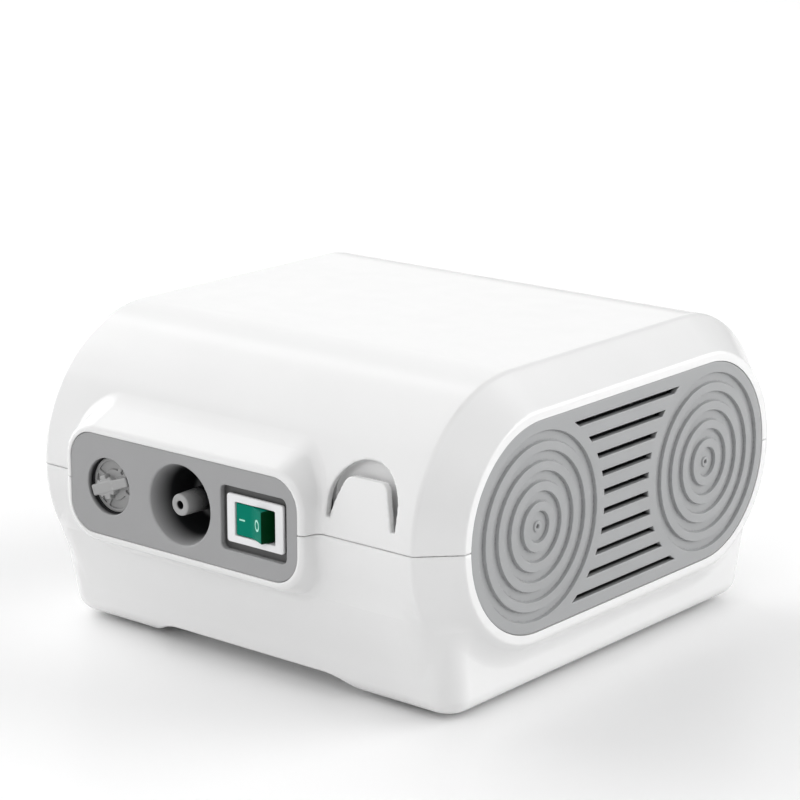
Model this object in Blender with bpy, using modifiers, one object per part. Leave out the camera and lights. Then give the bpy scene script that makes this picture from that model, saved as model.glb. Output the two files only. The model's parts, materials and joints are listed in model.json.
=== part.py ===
"""A tabletop compressor nebulizer: two casing halves round a wobble-piston compressor.

Lengths below are in millimetres and become metres where a mesh is made.
+X runs along the front from the filter to the switch, +Y to the back, +Z up.
The origin is the centre of the footprint, on the surface that the feet stand on.
"""
from math import asin, cos, pi, radians, sin, sqrt

import bmesh
import bpy
from mathutils import Matrix, Vector

MM = 0.001
GAP = 0.3

# Casing: a stadium section along X, whose ends narrow to a flat rim round each grille.
HALF_LENGTH = 85.5
SECTION_Y = 3.7
PARTING_Z = 54.7
ARC_OFFSET = 44.25
BODY_RADIUS = 46.0
RIM_RADIUS = 34.1
GRILLE_RADIUS = 32.3
RIDGE_SETBACK = 12.3
BAND_SETBACK = 8.4
BAND_RADIUS = 41.1
WALL = 2.5
ARC_STEPS = 9

# Skirt of the lower casing: height below the parting plane, half length, half depth.
SKIRT_TOP = (-14.0, 74.0, 80.0)
SKIRT_SHOULDER = (-22.0, 79.0, 83.2)
SKIRT_WAIST = (-28.0, 80.6, 81.6)
SKIRT_LOW = (-44.7, 79.9, 78.6)
SKIRT_EDGE = (-50.0, 79.2, 77.8)
SKIRT_BOTTOM = (-52.9, 76.5, 75.0)
SKIRT_CORNER = 9.0
FLOOR_TOP = 4.6
ARCH_HEIGHT = 4.3
ARCH_TOP_HALF = 35.0
ARCH_BOTTOM_HALF = 42.7
ARCH_DEPTH = 14.0

# Boss and panel on the front.
PANEL_X = -10.4
PANEL_SIZE = (93.8, 32.0)
PANEL_CORNER = 9.5
PANEL_Y = SECTION_Y - 95.8
PANEL_THICKNESS = 2.2
RIM_WIDTH = 2.0
RIM_PROUD = 0.2
BOSS_SIDE_SLOPE = 0.30
BOSS_TOP_SLOPE = 0.45
BOSS_DEPTH = 16.0

# Outlet, filter and switch on the panel, left to right.
FILTER_X = -41.0
FILTER_RADIUS = 9.0
FILTER_RECESS = 2.0
OUTLET_X = -10.7
OUTLET_RADIUS = 12.6
OUTLET_FLOOR_RADIUS = 8.0
OUTLET_DEPTH = 16.0
NOZZLE_RADIUS = 3.4
NOZZLE_BORE = 1.3
SWITCH_X = 19.2
SWITCH_RECESS = (26.1, 20.0, 2.3)
BEZEL_SIZE = (22.4, 15.0, 1.3)
SWITCH_BODY = (19.2, 12.8, 11.0)
ROCKER_OPENING = (15.9, 10.4)
ROCKER_HALF_THROW = 12.5
ROCKER_TIP = (6.4, 6.2)
ROCKER_PIVOT_BACK = 4.9

# Holder for the nebulizer cup: a half-round scoop behind a tab.
HOLDER_X = 55.2
HOLDER_RADIUS = 13.0
HOLDER_SPRING_Z = 10.5
HOLDER_FLOOR = 5.5
HOLDER_LINING = 2.0
HOLDER_MOUTH = 84.5
HOLDER_BACK = 76.5
TAB_HALF = 11.4
TAB_TOP_HALF = 5.8
TAB_TOP_Z = 18.2
TAB_FRONT = 89.9
TAB_THICKNESS = 2.2

# Feet and casing screws.
FOOT_X, FOOT_Y = 64.0, 62.0
FOOT_RADIUS = 6.5
FOOT_HEIGHT = 3.4
POST_X, POST_Y = 62.0, 52.0
POST_RADIUS = 4.6
PILOT_RADIUS = 1.6
HEAD_HOLE_RADIUS = 3.2
HEAD_HOLE_TOP = 44.0

# Mains inlet on the rear wall.
INLET_X = -45.0
INLET_Z = 38.0
INLET_PAD = (30.0, 20.0)
INLET_FACE = SECTION_Y + 80.6
INLET_FLANGE = (26.0, 16.4, 1.6)
INLET_BODY = (20.0, 12.0, 18.0)
INLET_SOCKET = (15.6, 8.4, 13.0)
PIN_PITCH = 8.6
PIN_RADIUS = 1.2

# Compressor: the motor's axis runs along X.
AXIS_Y = 12.0
AXIS_Z = 46.4
CORE_HALF_X = 11.0
CORE_HALF_Z = 27.0
CORE_FRONT, CORE_BACK = -20.0, 43.0
WINDOW_FRONT, WINDOW_BACK, WINDOW_HALF_Z = 18.0, 31.0, 15.0
ROTOR_RADIUS = 15.1
SHAFT_RADIUS = 2.5
CRANK_X = 32.0
CRANK_THROW = 2.0
CYLINDER_BORE = 11.0
CYLINDER_BOTTOM = 14.8
CYLINDER_TOP = 32.1
PLATFORM_Z = 17.6
FOOT_PLATE_Z = 16.6
HOSE_RADIUS = 4.4
BARB_RADIUS = 2.8
LEAD_RADIUS = 0.9
BOLTS = ((-14.0, 21.0), (12.0, -21.0))
MOUNTS = tuple((x, AXIS_Y + y) for x in (-17.0, 41.0) for y in (-19.0, 23.0))
HEAD_SCREWS = ((CRANK_X, AXIS_Y - 18.0), (CRANK_X, AXIS_Y + 18.0))

COLOURS = {
    "white_plastic": ((0.86, 0.87, 0.88), 0.25, 0.0),
    "grey_plastic": ((0.33, 0.33, 0.34), 0.4, 0.0),
    "dark_plastic": ((0.04, 0.04, 0.045), 0.5, 0.0),
    "green_lens": ((0.0, 0.16, 0.11), 0.15, 0.0),
    "rubber": ((0.05, 0.05, 0.05), 0.8, 0.0),
    "clear_tube": ((0.6, 0.6, 0.58), 0.3, 0.0),
    "felt": ((0.8, 0.8, 0.78), 0.95, 0.0),
    "steel": ((0.55, 0.55, 0.56), 0.3, 1.0),
    "lamination": ((0.25, 0.25, 0.26), 0.5, 0.9),
    "aluminium": ((0.62, 0.63, 0.64), 0.4, 1.0),
    "copper": ((0.72, 0.33, 0.15), 0.35, 1.0),
    "brass": ((0.75, 0.58, 0.28), 0.3, 1.0),
}


def clear_scene():
    for item in list(bpy.data.objects):
        bpy.data.objects.remove(item, do_unlink=True)


def new_collection(name):
    collection = bpy.data.collections.new(name)
    bpy.context.scene.collection.children.link(collection)
    return collection


def principled(name):
    colour, roughness, metallic = COLOURS[name]
    material = bpy.data.materials.get(name) or bpy.data.materials.new(name)
    material.use_nodes = True
    shader = material.node_tree.nodes["Principled BSDF"]
    shader.inputs["Base Color"].default_value = (*colour, 1.0)
    shader.inputs["Roughness"].default_value = roughness
    shader.inputs["Metallic"].default_value = metallic
    return material


def add(name, mesh, material=None, origin=(0.0, 0.0, 0.0)):
    """Makes an object of a mesh given in world millimetres; without a material it is a helper."""
    origin = Vector(origin)
    mesh.transform(Matrix.Scale(MM, 4) @ Matrix.Translation(-origin))
    item = bpy.data.objects.new(name, mesh)
    item.location = origin * MM
    if material:
        PARTS.objects.link(item)
        mesh.materials.append(principled(material))
        mesh.shade_smooth()
        mesh.set_sharp_from_angle(angle=radians(35))
    else:
        CUTTERS.objects.link(item)
        item.hide_render = True
        item.display_type = "WIRE"
    return item


def mesh_of(name, build):
    """A mesh filled by build(bm)."""
    bm = bmesh.new()
    build(bm)
    bmesh.ops.recalc_face_normals(bm, faces=bm.faces)
    mesh = bpy.data.meshes.new(name)
    bm.to_mesh(mesh)
    bm.free()
    return mesh


def box(name, low, high, material=None, bevel=0.0, origin=(0, 0, 0)):
    """A box between two corners."""
    low, high = Vector(low), Vector(high)

    def build(bm):
        bmesh.ops.create_cube(bm, size=1.0)
        size = high - low
        bmesh.ops.scale(bm, vec=size, verts=bm.verts)
        bmesh.ops.translate(bm, vec=(low + high) / 2, verts=bm.verts)
        if bevel:
            bmesh.ops.bevel(bm, geom=bm.edges[:], offset=bevel, segments=1, affect="EDGES")

    return add(name, mesh_of(name, build), material, origin)


AXES = {"X": Matrix.Rotation(pi / 2, 4, "Y"), "Y": Matrix.Rotation(-pi / 2, 4, "X"), "Z": Matrix.Identity(4)}


def cone(name, base, axis, length, radius, end_radius=None, sides=24, material=None, origin=(0, 0, 0)):
    """A cylinder or cone from its base centre along +X, +Y or +Z."""
    end_radius = radius if end_radius is None else end_radius

    def build(bm):
        place = Matrix.Translation(Vector(base)) @ AXES[axis] @ Matrix.Translation((0, 0, length / 2))
        bmesh.ops.create_cone(
            bm, cap_ends=True, segments=sides, radius1=radius, radius2=end_radius, depth=length, matrix=place
        )

    return add(name, mesh_of(name, build), material, origin)


def loft(name, sections, material=None):
    """A closed body through sections that have the same number of points."""

    def build(bm):
        rings = [[bm.verts.new(point) for point in section] for section in sections]
        count = len(rings[0])
        for first, second in zip(rings, rings[1:]):
            for i in range(count):
                j = (i + 1) % count
                bm.faces.new((first[i], first[j], second[j], second[i]))
        bm.faces.new(rings[0])
        bm.faces.new(rings[-1])

    return add(name, mesh_of(name, build), material)


def turned(name, profile, base, axis, material=None, steps=24, origin=(0, 0, 0)):
    """A closed profile of (radius, height) points turned about an axis through base."""
    curve = [Vector((radius, 0, height)) * MM for radius, height in profile]
    mesh = bpy.data.meshes.new(name)
    closed = profile[0][0] > 0
    edges = [(i, i + 1) for i in range(len(curve) - 1)] + ([(len(curve) - 1, 0)] if closed else [])
    mesh.from_pydata(curve, edges, [])
    item = bpy.data.objects.new(name, mesh)
    CUTTERS.objects.link(item)
    screw = item.modifiers.new("turn", "SCREW")
    screw.steps = screw.render_steps = steps
    screw.use_merge_vertices = True
    screw.merge_threshold = 0.00001
    bpy.context.view_layer.update()
    solid = bpy.data.meshes.new_from_object(item.evaluated_get(bpy.context.evaluated_depsgraph_get()))
    bpy.data.objects.remove(item)
    solid.transform(Matrix.Translation(Vector(base)) @ AXES[axis] @ Matrix.Scale(1 / MM, 4))

    def build(bm):
        bm.from_mesh(solid)
        bmesh.ops.remove_doubles(bm, verts=bm.verts, dist=0.001)

    return add(name, mesh_of(name, build), material, origin)


def extruded(name, outline, place, thickness, material=None, origin=(0, 0, 0)):
    """A flat outline in the plane of place, thickness deep along its local +Z."""
    curve = bpy.data.curves.new(name, "CURVE")
    curve.dimensions = "2D"
    curve.fill_mode = "BOTH"
    curve.extrude = thickness / 2
    spline = curve.splines.new("POLY")
    spline.points.add(len(outline) - 1)
    for point, (u, v) in zip(spline.points, outline):
        point.co = (u, v, 0, 1)
    spline.use_cyclic_u = True
    item = bpy.data.objects.new(name, curve)
    CUTTERS.objects.link(item)
    bpy.context.view_layer.update()
    solid = bpy.data.meshes.new_from_object(item.evaluated_get(bpy.context.evaluated_depsgraph_get()))
    bpy.data.objects.remove(item)
    bpy.data.curves.remove(curve)
    solid.transform(place @ Matrix.Translation((0, 0, thickness / 2)))

    def build(bm):
        bm.from_mesh(solid)
        bmesh.ops.remove_doubles(bm, verts=bm.verts, dist=0.001)

    return add(name, mesh_of(name, build), material, origin)


def combine(item, other, operation):
    modifier = item.modifiers.new(operation.lower(), "BOOLEAN")
    modifier.operation = operation
    modifier.solver = "EXACT"
    modifier.object = other


def cut(item, *cutters):
    for cutter in cutters:
        combine(item, cutter, "DIFFERENCE")


def join(item, *others):
    for other in others:
        combine(item, other, "UNION")


def arc(centre, radius, start, end, steps):
    """Points on an arc, angles in degrees."""
    turn = [radians(start + (end - start) * i / steps) for i in range(steps + 1)]
    return [(centre[0] + radius * cos(a), centre[1] + radius * sin(a)) for a in turn]


def rounded(half_u, half_v, corner, steps=4, centre=(0.0, 0.0)):
    """A rounded rectangle's outline."""
    points = []
    for quarter, (side_u, side_v) in enumerate(((1, 1), (-1, 1), (-1, -1), (1, -1))):
        middle = (centre[0] + side_u * (half_u - corner), centre[1] + side_v * (half_v - corner))
        points += arc(middle, corner, 90 * quarter, 90 * quarter + 90, steps)
    return points


FACING_FRONT = Matrix(((1, 0, 0, 0), (0, 0, 1, 0), (0, 1, 0, 0), (0, 0, 0, 1)))
FACING_SIDE = Matrix(((0, 0, 1, 0), (1, 0, 0, 0), (0, 1, 0, 0), (0, 0, 0, 1)))


def front_at(x, y, z):
    """Local X, Y and Z run along world X, Z and Y."""
    return Matrix.Translation((x, y, z)) @ FACING_FRONT


def side_at(x, y, z):
    """Local X, Y and Z run along world Y, Z and X."""
    return Matrix.Translation((x, y, z)) @ FACING_SIDE


# ---------------------------------------------------------------- casing


def half_stadium(x, radius, side):
    """Half the casing's section at x; side is 1 above the parting plane and -1 below it."""
    lift = asin(GAP / 2 / radius)
    points = []
    for centre, start, end in ((-ARC_OFFSET, pi - lift, pi / 2), (ARC_OFFSET, pi / 2, lift)):
        for step in range(ARC_STEPS + 1):
            angle = start + (end - start) * step / ARC_STEPS
            y = SECTION_Y + centre + radius * cos(angle)
            points.append((x, y, PARTING_Z + side * radius * sin(angle)))
    return points


def stadium(x, radius):
    """The whole section at x."""
    points = []
    for centre, first in ((-ARC_OFFSET, 90), (ARC_OFFSET, -90)):
        middle = (SECTION_Y + centre, PARTING_Z)
        points += [(x, y, z) for y, z in arc(middle, radius, first, first + 180, 2 * ARC_STEPS)]
    return points


def casing_profile(narrower):
    """(x, radius) along the casing's length; narrower is the wall's thickness, or 0 outside."""
    ridge = HALF_LENGTH - RIDGE_SETBACK
    band = HALF_LENGTH - BAND_SETBACK
    if narrower:
        neck = GRILLE_RADIUS + GAP
        half = [
            (ridge - 0.6, BODY_RADIUS - narrower),
            (band - 0.2, BAND_RADIUS - narrower - 0.8),
            (HALF_LENGTH - narrower, neck),
            (HALF_LENGTH + 3.0, neck),
        ]
    else:
        middle = ((band + HALF_LENGTH) / 2, (BAND_RADIUS + RIM_RADIUS) / 2 - 0.3)
        half = [(ridge, BODY_RADIUS), (band, BAND_RADIUS), middle, (HALF_LENGTH, RIM_RADIUS)]
    return [(-x, radius) for x, radius in reversed(half)] + half


def casing_half(name, side):
    return loft(name, [half_stadium(x, radius, side) for x, radius in casing_profile(0)], "white_plastic")


def boss(name, side):
    """The half of the tapered boss above or below the parting plane."""
    front, back = PANEL_Y - RIM_PROUD, PANEL_Y - RIM_PROUD + BOSS_DEPTH
    sections = []
    for y, round_off in ((front, 1.2), (front + 1.2, 0.0), (back, 0.0)):
        depth = y - front
        half_x = PANEL_SIZE[0] / 2 + RIM_WIDTH + BOSS_SIDE_SLOPE * depth - round_off
        half_z = PANEL_SIZE[1] / 2 + RIM_WIDTH + BOSS_TOP_SLOPE * depth - round_off
        corner = PANEL_CORNER + RIM_WIDTH + BOSS_SIDE_SLOPE * depth
        upper = [(half_x, GAP / 2)]
        upper += arc((half_x - corner, half_z - corner), corner, 0, 90, 5)
        upper += arc((corner - half_x, half_z - corner), corner, 90, 180, 5)
        upper += [(-half_x, GAP / 2)]
        sections.append([(PANEL_X + u, y, PARTING_Z + side * v) for u, v in upper])
    return loft(name, sections)


def panel_cutters():
    """The rebate that holds the panel, and the way through behind it."""
    half_x, half_z = PANEL_SIZE[0] / 2 + GAP, PANEL_SIZE[1] / 2 + GAP
    rebate = extruded(
        "cut_panel_rebate",
        rounded(half_x, half_z, PANEL_CORNER),
        front_at(PANEL_X, PANEL_Y - 3.0, PARTING_Z),
        3.0 + PANEL_THICKNESS + GAP,
    )
    way = extruded(
        "cut_panel_way",
        rounded(half_x - 1.6, half_z - 1.6, PANEL_CORNER - 1.6),
        front_at(PANEL_X, PANEL_Y, PARTING_Z),
        BOSS_DEPTH + 4.0,
    )
    return rebate, way


def holder_arch(radius, floor):
    """A half-round arch on straight legs, standing on a flat floor above the parting plane."""
    return [(radius, floor)] + arc((0, HOLDER_SPRING_Z), radius, 0, 180, 12) + [(-radius, floor)]


def upper_casing():
    casing = casing_half("upper_casing", 1)
    join(casing, boss("add_boss_upper", 1))
    cut(casing, INNER)
    start = PARTING_Z + GAP / 2
    post_height = sqrt((BODY_RADIUS - WALL / 2) ** 2 - (POST_Y - ARC_OFFSET) ** 2) - GAP
    for x in (-POST_X, POST_X):
        for y in (-POST_Y, POST_Y):
            label = f"{x:.0f}_{y:.0f}"
            middle = (x, SECTION_Y + y)
            post_radius = POST_RADIUS - 0.6
            join(casing, cone(f"add_post_{label}", (*middle, start), "Z", post_height, post_radius, sides=12))
            cut(casing, cone(f"cut_pilot_{label}", (*middle, start - 4.0), "Z", 18.0, PILOT_RADIUS, sides=10))
    cut(casing, *panel_cutters())
    back = SECTION_Y - HOLDER_BACK
    pocket_wall = extruded(
        "add_holder_pocket",
        holder_arch(HOLDER_RADIUS + HOLDER_LINING, HOLDER_FLOOR - HOLDER_LINING),
        front_at(HOLDER_X, SECTION_Y - HOLDER_MOUTH, PARTING_Z),
        HOLDER_MOUTH - HOLDER_BACK + HOLDER_LINING,
    )
    pocket = extruded(
        "cut_holder_pocket",
        holder_arch(HOLDER_RADIUS, HOLDER_FLOOR),
        front_at(HOLDER_X, SECTION_Y - 100.0, PARTING_Z),
        back - (SECTION_Y - 100.0),
    )
    top_corner = [(TAB_TOP_HALF + 1.6, TAB_TOP_Z - 0.7), (TAB_TOP_HALF, TAB_TOP_Z)]
    right = [(TAB_HALF, 2.0), (TAB_HALF, 7.0), (TAB_HALF - 1.2, 12.5)] + top_corner
    tab_outline = right + [(-u, v) for u, v in reversed(right)]
    tab = extruded(
        "add_holder_tab",
        tab_outline,
        front_at(HOLDER_X, SECTION_Y - TAB_FRONT, PARTING_Z),
        TAB_THICKNESS,
    )
    join(casing, pocket_wall)
    cut(casing, pocket)
    join(casing, tab)
    return casing


def skirt(name, levels, corner):
    """A drafted box with round corners through (height, half length, half depth) levels."""
    sections = []
    for height, half_x, half_y in levels:
        outline = rounded(half_x, half_y, corner)
        sections.append([(x, SECTION_Y + y, PARTING_Z + height) for x, y in outline])
    return loft(name, sections)


def lower_casing():
    casing = casing_half("lower_casing", -1)
    levels = (SKIRT_TOP, SKIRT_SHOULDER, SKIRT_WAIST, SKIRT_LOW, SKIRT_EDGE, SKIRT_BOTTOM)
    join(casing, skirt("add_skirt", levels, SKIRT_CORNER), boss("add_boss_lower", -1))
    inside = [(height, half_x - WALL, half_y - WALL) for height, half_x, half_y in levels[:4]]
    inside.append((FLOOR_TOP - PARTING_Z, SKIRT_EDGE[1] - WALL, SKIRT_EDGE[2] - WALL))
    cut(casing, INNER, skirt("cut_skirt", inside, SKIRT_CORNER - WALL), *panel_cutters())
    for x in (-POST_X, POST_X):
        for y in (-POST_Y, POST_Y):
            label = f"{x:.0f}_{y:.0f}"
            middle = (x, SECTION_Y + y)
            height = PARTING_Z - GAP / 2 - 3.0
            head_depth = HEAD_HOLE_TOP + 1.0
            join(casing, cone(f"add_low_post_{label}", (*middle, 3.0), "Z", height, POST_RADIUS, sides=14))
            head = cone(f"cut_head_{label}", (*middle, -1.0), "Z", head_depth, HEAD_HOLE_RADIUS, sides=12)
            shank = cone(f"cut_shank_{label}", (*middle, 43.0), "Z", 20.0, PILOT_RADIUS + 0.1, sides=10)
            cut(casing, head, shank)
    for x in (-FOOT_X, FOOT_X):
        for y in (-FOOT_Y, FOOT_Y):
            middle = (x, SECTION_Y + y)
            label = f"{x:.0f}_{y:.0f}"
            boss_radius = FOOT_RADIUS + 2.0
            seat_depth = 1.0 + FOOT_HEIGHT + GAP
            join(casing, cone(f"add_foot_boss_{label}", (*middle, 3.0), "Z", 4.0, boss_radius, sides=16))
            seat = cone(f"cut_foot_{label}", (*middle, -1.0), "Z", seat_depth, FOOT_RADIUS + GAP, sides=20)
            cut(casing, seat)
    front = SECTION_Y - SKIRT_BOTTOM[2]
    hood_half = ARCH_BOTTOM_HALF + WALL
    hood_back = front + ARCH_DEPTH + WALL
    join(casing, box("add_arch_hood", (-hood_half, front, 3.0), (hood_half, hood_back, 8.8)))
    bottom = PARTING_Z + SKIRT_BOTTOM[0]
    spread = (ARCH_BOTTOM_HALF - ARCH_TOP_HALF) / ARCH_HEIGHT
    below = 2.0
    arch = [
        (-ARCH_BOTTOM_HALF - below * spread, bottom - below),
        (ARCH_BOTTOM_HALF + below * spread, bottom - below),
        (ARCH_TOP_HALF, bottom + ARCH_HEIGHT),
        (-ARCH_TOP_HALF, bottom + ARCH_HEIGHT),
    ]
    cut(casing, extruded("cut_arch", arch, front_at(0, front - 10.0, 0), ARCH_DEPTH + 10.0))
    join(casing, inlet_pad())
    cut(casing, *inlet_cutters())
    return casing


def inlet_pad():
    """A flat pad inside the curved rear wall, which carries the mains inlet."""
    half_x, half_z = INLET_PAD[0] / 2 + 2.0, INLET_PAD[1] / 2 + 2.0
    low = (INLET_X - half_x, INLET_FACE - 2.5, INLET_Z - half_z)
    high = (INLET_X + half_x, SECTION_Y + 81.2, INLET_Z + half_z)
    return box("add_inlet_pad", low, high)


def inlet_cutters():
    recess = extruded(
        "cut_inlet_recess",
        rounded(INLET_PAD[0] / 2, INLET_PAD[1] / 2, 2.0, 2),
        front_at(INLET_X, INLET_FACE, INLET_Z),
        20.0,
    )
    half_x, half_z = INLET_BODY[0] / 2 + GAP, INLET_BODY[1] / 2 + GAP
    hole_low = (INLET_X - half_x, INLET_FACE - 8.0, INLET_Z - half_z)
    hole_high = (INLET_X + half_x, INLET_FACE + 4.0, INLET_Z + half_z)
    hole = box("cut_inlet_hole", hole_low, hole_high)
    return recess, hole


def grille(name, side):
    """A flat plate held in the casing's neck by a flange behind it, with ten airflow slots."""
    front = HALF_LENGTH - 0.2
    half = [
        (front - 6.4, RIM_RADIUS - 0.6),
        (front - 5.0, RIM_RADIUS - 0.6),
        (front - 4.7, GRILLE_RADIUS),
        (front, GRILLE_RADIUS),
    ]
    plate = loft(name, [stadium(side * x, radius) for x, radius in half], "grey_plastic")
    hollow = [(front - 9.0, GRILLE_RADIUS - 2.5), (front - 2.4, GRILLE_RADIUS - 2.5)]
    cut(plate, loft(f"cut_{name}_hollow", [stadium(side * x, radius) for x, radius in hollow]))
    pitch, height, reach = 6.03, 1.8, GRILLE_RADIUS + 0.4
    for row in range(10):
        z = (row - 4.5) * pitch
        half_y = ARC_OFFSET - sqrt(reach**2 - z**2)
        low = (side * front - 4.0, SECTION_Y - half_y, PARTING_Z + z - height / 2)
        high = (side * front + 4.0, SECTION_Y + half_y, PARTING_Z + z + height / 2)
        cut(plate, box(f"cut_{name}_slot_{row}", low, high))
    return plate


def feet_and_screws():
    edge = 0.6
    radius, height = FOOT_RADIUS, FOOT_HEIGHT
    foot = [(0, height), (radius, height), (radius, edge), (radius - edge, 0), (0, 0)]
    for number, (x, y) in enumerate(((-1, -1), (1, -1), (-1, 1), (1, 1)), 1):
        base = (x * FOOT_X, SECTION_Y + y * FOOT_Y, 0)
        turned(f"foot_{number}", foot, base, "Z", "rubber", 20)
        shank = [(0, 20.0), (1.3, 20.0), (1.3, 2.2), (2.8, 2.2), (2.8, 0), (0, 0)]
        base = (x * POST_X, SECTION_Y + y * POST_Y, 41.6)
        turned(f"casing_screw_{number}", shank, base, "Z", "steel", 10)


# ---------------------------------------------------------------- front panel


def control_panel():
    back = PANEL_Y + PANEL_THICKNESS
    panel = extruded(
        "control_panel",
        rounded(PANEL_SIZE[0] / 2, PANEL_SIZE[1] / 2, PANEL_CORNER, 6),
        front_at(PANEL_X, PANEL_Y, PARTING_Z),
        PANEL_THICKNESS,
        "grey_plastic",
    )
    wall = 1.6
    sleeve = cone(
        "add_outlet_cup",
        (OUTLET_X, PANEL_Y + 1.0, PARTING_Z),
        "Y",
        OUTLET_DEPTH + 1.0,
        OUTLET_RADIUS + wall,
        OUTLET_FLOOR_RADIUS + wall,
        28,
    )
    funnel = cone(
        "cut_outlet_cup",
        (OUTLET_X, PANEL_Y - 1.0, PARTING_Z),
        "Y",
        OUTLET_DEPTH + 1.0,
        OUTLET_RADIUS + 0.3,
        OUTLET_FLOOR_RADIUS,
        28,
    )
    half_x, half_z, depth = SWITCH_RECESS[0] / 2, SWITCH_RECESS[1] / 2, SWITCH_RECESS[2]
    tray_low = (SWITCH_X - half_x - 1.0, PANEL_Y + 1.0, PARTING_Z - half_z - 1.0)
    tray_high = (SWITCH_X + half_x + 1.0, PANEL_Y + depth + 1.8, PARTING_Z + half_z + 1.0)
    join(panel, sleeve, box("add_switch_tray", tray_low, tray_high))
    recess = extruded(
        "cut_switch_recess",
        rounded(half_x, half_z, 2.0, 3),
        front_at(SWITCH_X, PANEL_Y - 1.0, PARTING_Z),
        depth + 1.0,
    )
    body_half_x, body_half_z = SWITCH_BODY[0] / 2 + GAP, SWITCH_BODY[1] / 2 + GAP
    body_low = (SWITCH_X - body_half_x, PANEL_Y, PARTING_Z - body_half_z)
    body_high = (SWITCH_X + body_half_x, PANEL_Y + 9.0, PARTING_Z + body_half_z)
    cut(panel, funnel, recess, box("cut_switch_body", body_low, body_high))
    cut(panel, cone("cut_nozzle_hole", (OUTLET_X, back, PARTING_Z), "Y", 22.0, 2.9, sides=16))
    filter_base = (FILTER_X, PANEL_Y - 1.0, PARTING_Z)
    cut(panel, cone("cut_filter_hole", filter_base, "Y", 6.0, FILTER_RADIUS, sides=28))


def outlet_nozzle():
    floor = OUTLET_DEPTH
    behind = floor + 2.0 + 2 * GAP
    outside = [
        (NOZZLE_BORE, behind + 12.0),
        (1.9, behind + 12.0),
        (BARB_RADIUS, behind + 8.0),
        (2.2, behind + 8.0),
        (2.2, behind + 3.0),
        (2.2, floor - GAP),
        (NOZZLE_RADIUS, floor - GAP),
        (NOZZLE_RADIUS, 0.8),
        (NOZZLE_RADIUS - 0.5, 0.0),
        (NOZZLE_BORE, 0.0),
    ]
    turned("outlet_nozzle", outside, (OUTLET_X, PANEL_Y, PARTING_Z), "Y", "grey_plastic", 16)


def filter_parts():
    """Cap with a grip bar, felt disc, and the cup behind the panel with a hose spigot."""
    place = (FILTER_X, PANEL_Y, PARTING_Z)
    radius = FILTER_RADIUS - GAP
    cap = cone("filter_cap", (FILTER_X, PANEL_Y + FILTER_RECESS, PARTING_Z), "Y", 2.4, radius, sides=28,
               material="grey_plastic", origin=place)
    bar_low = (FILTER_X - radius + 1.0, PANEL_Y - 0.4, PARTING_Z - 1.6)
    bar_high = (FILTER_X + radius - 1.0, PANEL_Y + FILTER_RECESS + 0.6, PARTING_Z + 1.6)
    join(cap, box("add_grip_bar", bar_low, bar_high))
    hub_base = (FILTER_X, PANEL_Y + 0.8, PARTING_Z)
    join(cap, cone("add_grip_hub", hub_base, "Y", 1.8, 4.2, sides=20))
    felt_base = (FILTER_X, PANEL_Y + 4.8, PARTING_Z)
    cone("filter_felt", felt_base, "Y", 6.0, radius - 0.3, sides=24, material="felt", origin=felt_base)
    depth = 14.0
    cup = [
        (1.4, depth + 12.0),
        (1.9, depth + 12.0),
        (BARB_RADIUS, depth + 8.0),
        (2.2, depth + 8.0),
        (2.2, depth),
        (FILTER_RADIUS + 1.8, depth),
        (FILTER_RADIUS + 1.8, PANEL_THICKNESS + GAP),
        (FILTER_RADIUS, PANEL_THICKNESS + GAP),
        (FILTER_RADIUS, depth - 2.0),
        (1.4, depth - 2.0),
    ]
    turned("filter_housing", cup, place, "Y", "dark_plastic", 24)


def power_switch():
    """Bezel and body in one moulding, a rocker pressed in on its on side, four blades."""
    bezel_y = PANEL_Y + SWITCH_RECESS[2] - GAP - BEZEL_SIZE[2]
    bezel_place = front_at(SWITCH_X, bezel_y, PARTING_Z)
    outline = rounded(BEZEL_SIZE[0] / 2, BEZEL_SIZE[1] / 2, 0.8, 2)
    housing = extruded("switch_housing", outline, bezel_place, BEZEL_SIZE[2], "white_plastic")
    half_x, half_z, depth = SWITCH_BODY[0] / 2, SWITCH_BODY[1] / 2, SWITCH_BODY[2]
    body_low = (SWITCH_X - half_x, bezel_y + 0.6, PARTING_Z - half_z)
    body_high = (SWITCH_X + half_x, bezel_y + depth, PARTING_Z + half_z)
    join(housing, box("add_switch_body", body_low, body_high))
    open_x, open_z = ROCKER_OPENING[0] / 2, ROCKER_OPENING[1] / 2
    open_low = (SWITCH_X - open_x, bezel_y - 1.0, PARTING_Z - open_z)
    open_high = (SWITCH_X + open_x, bezel_y + depth - 1.4, PARTING_Z + open_z)
    cut(housing, box("cut_rocker_opening", open_low, open_high))
    pivot = (SWITCH_X, bezel_y + ROCKER_PIVOT_BACK, PARTING_Z - open_z + GAP)
    tip_u, tip_v = ROCKER_TIP
    throw = radians(ROCKER_HALF_THROW)
    valley = (tip_v * cos(throw) - tip_u * sin(throw)) / cos(throw)
    neutral = [(-tip_u, -tip_v), (0, -valley), (tip_u, -tip_v), (6.2, 1.0), (0, 3.0), (-6.2, 1.0)]
    rest = [(u * cos(throw) + v * sin(throw), v * cos(throw) - u * sin(throw)) for u, v in neutral]
    flat = Matrix.Translation(pivot)
    extruded("switch_rocker", rest, flat, ROCKER_OPENING[1] - 2 * GAP, "green_lens", pivot)
    number = 0
    for x in (-5.0, 5.0):
        for z in (-3.4, 3.4):
            number += 1
            start = bezel_y + depth + GAP
            low = (SWITCH_X + x - 0.4, start, PARTING_Z + z - 2.0)
            high = (SWITCH_X + x + 0.4, start + 7.0, PARTING_Z + z + 2.0)
            box(f"switch_terminal_{number}", low, high, "brass")


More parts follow.
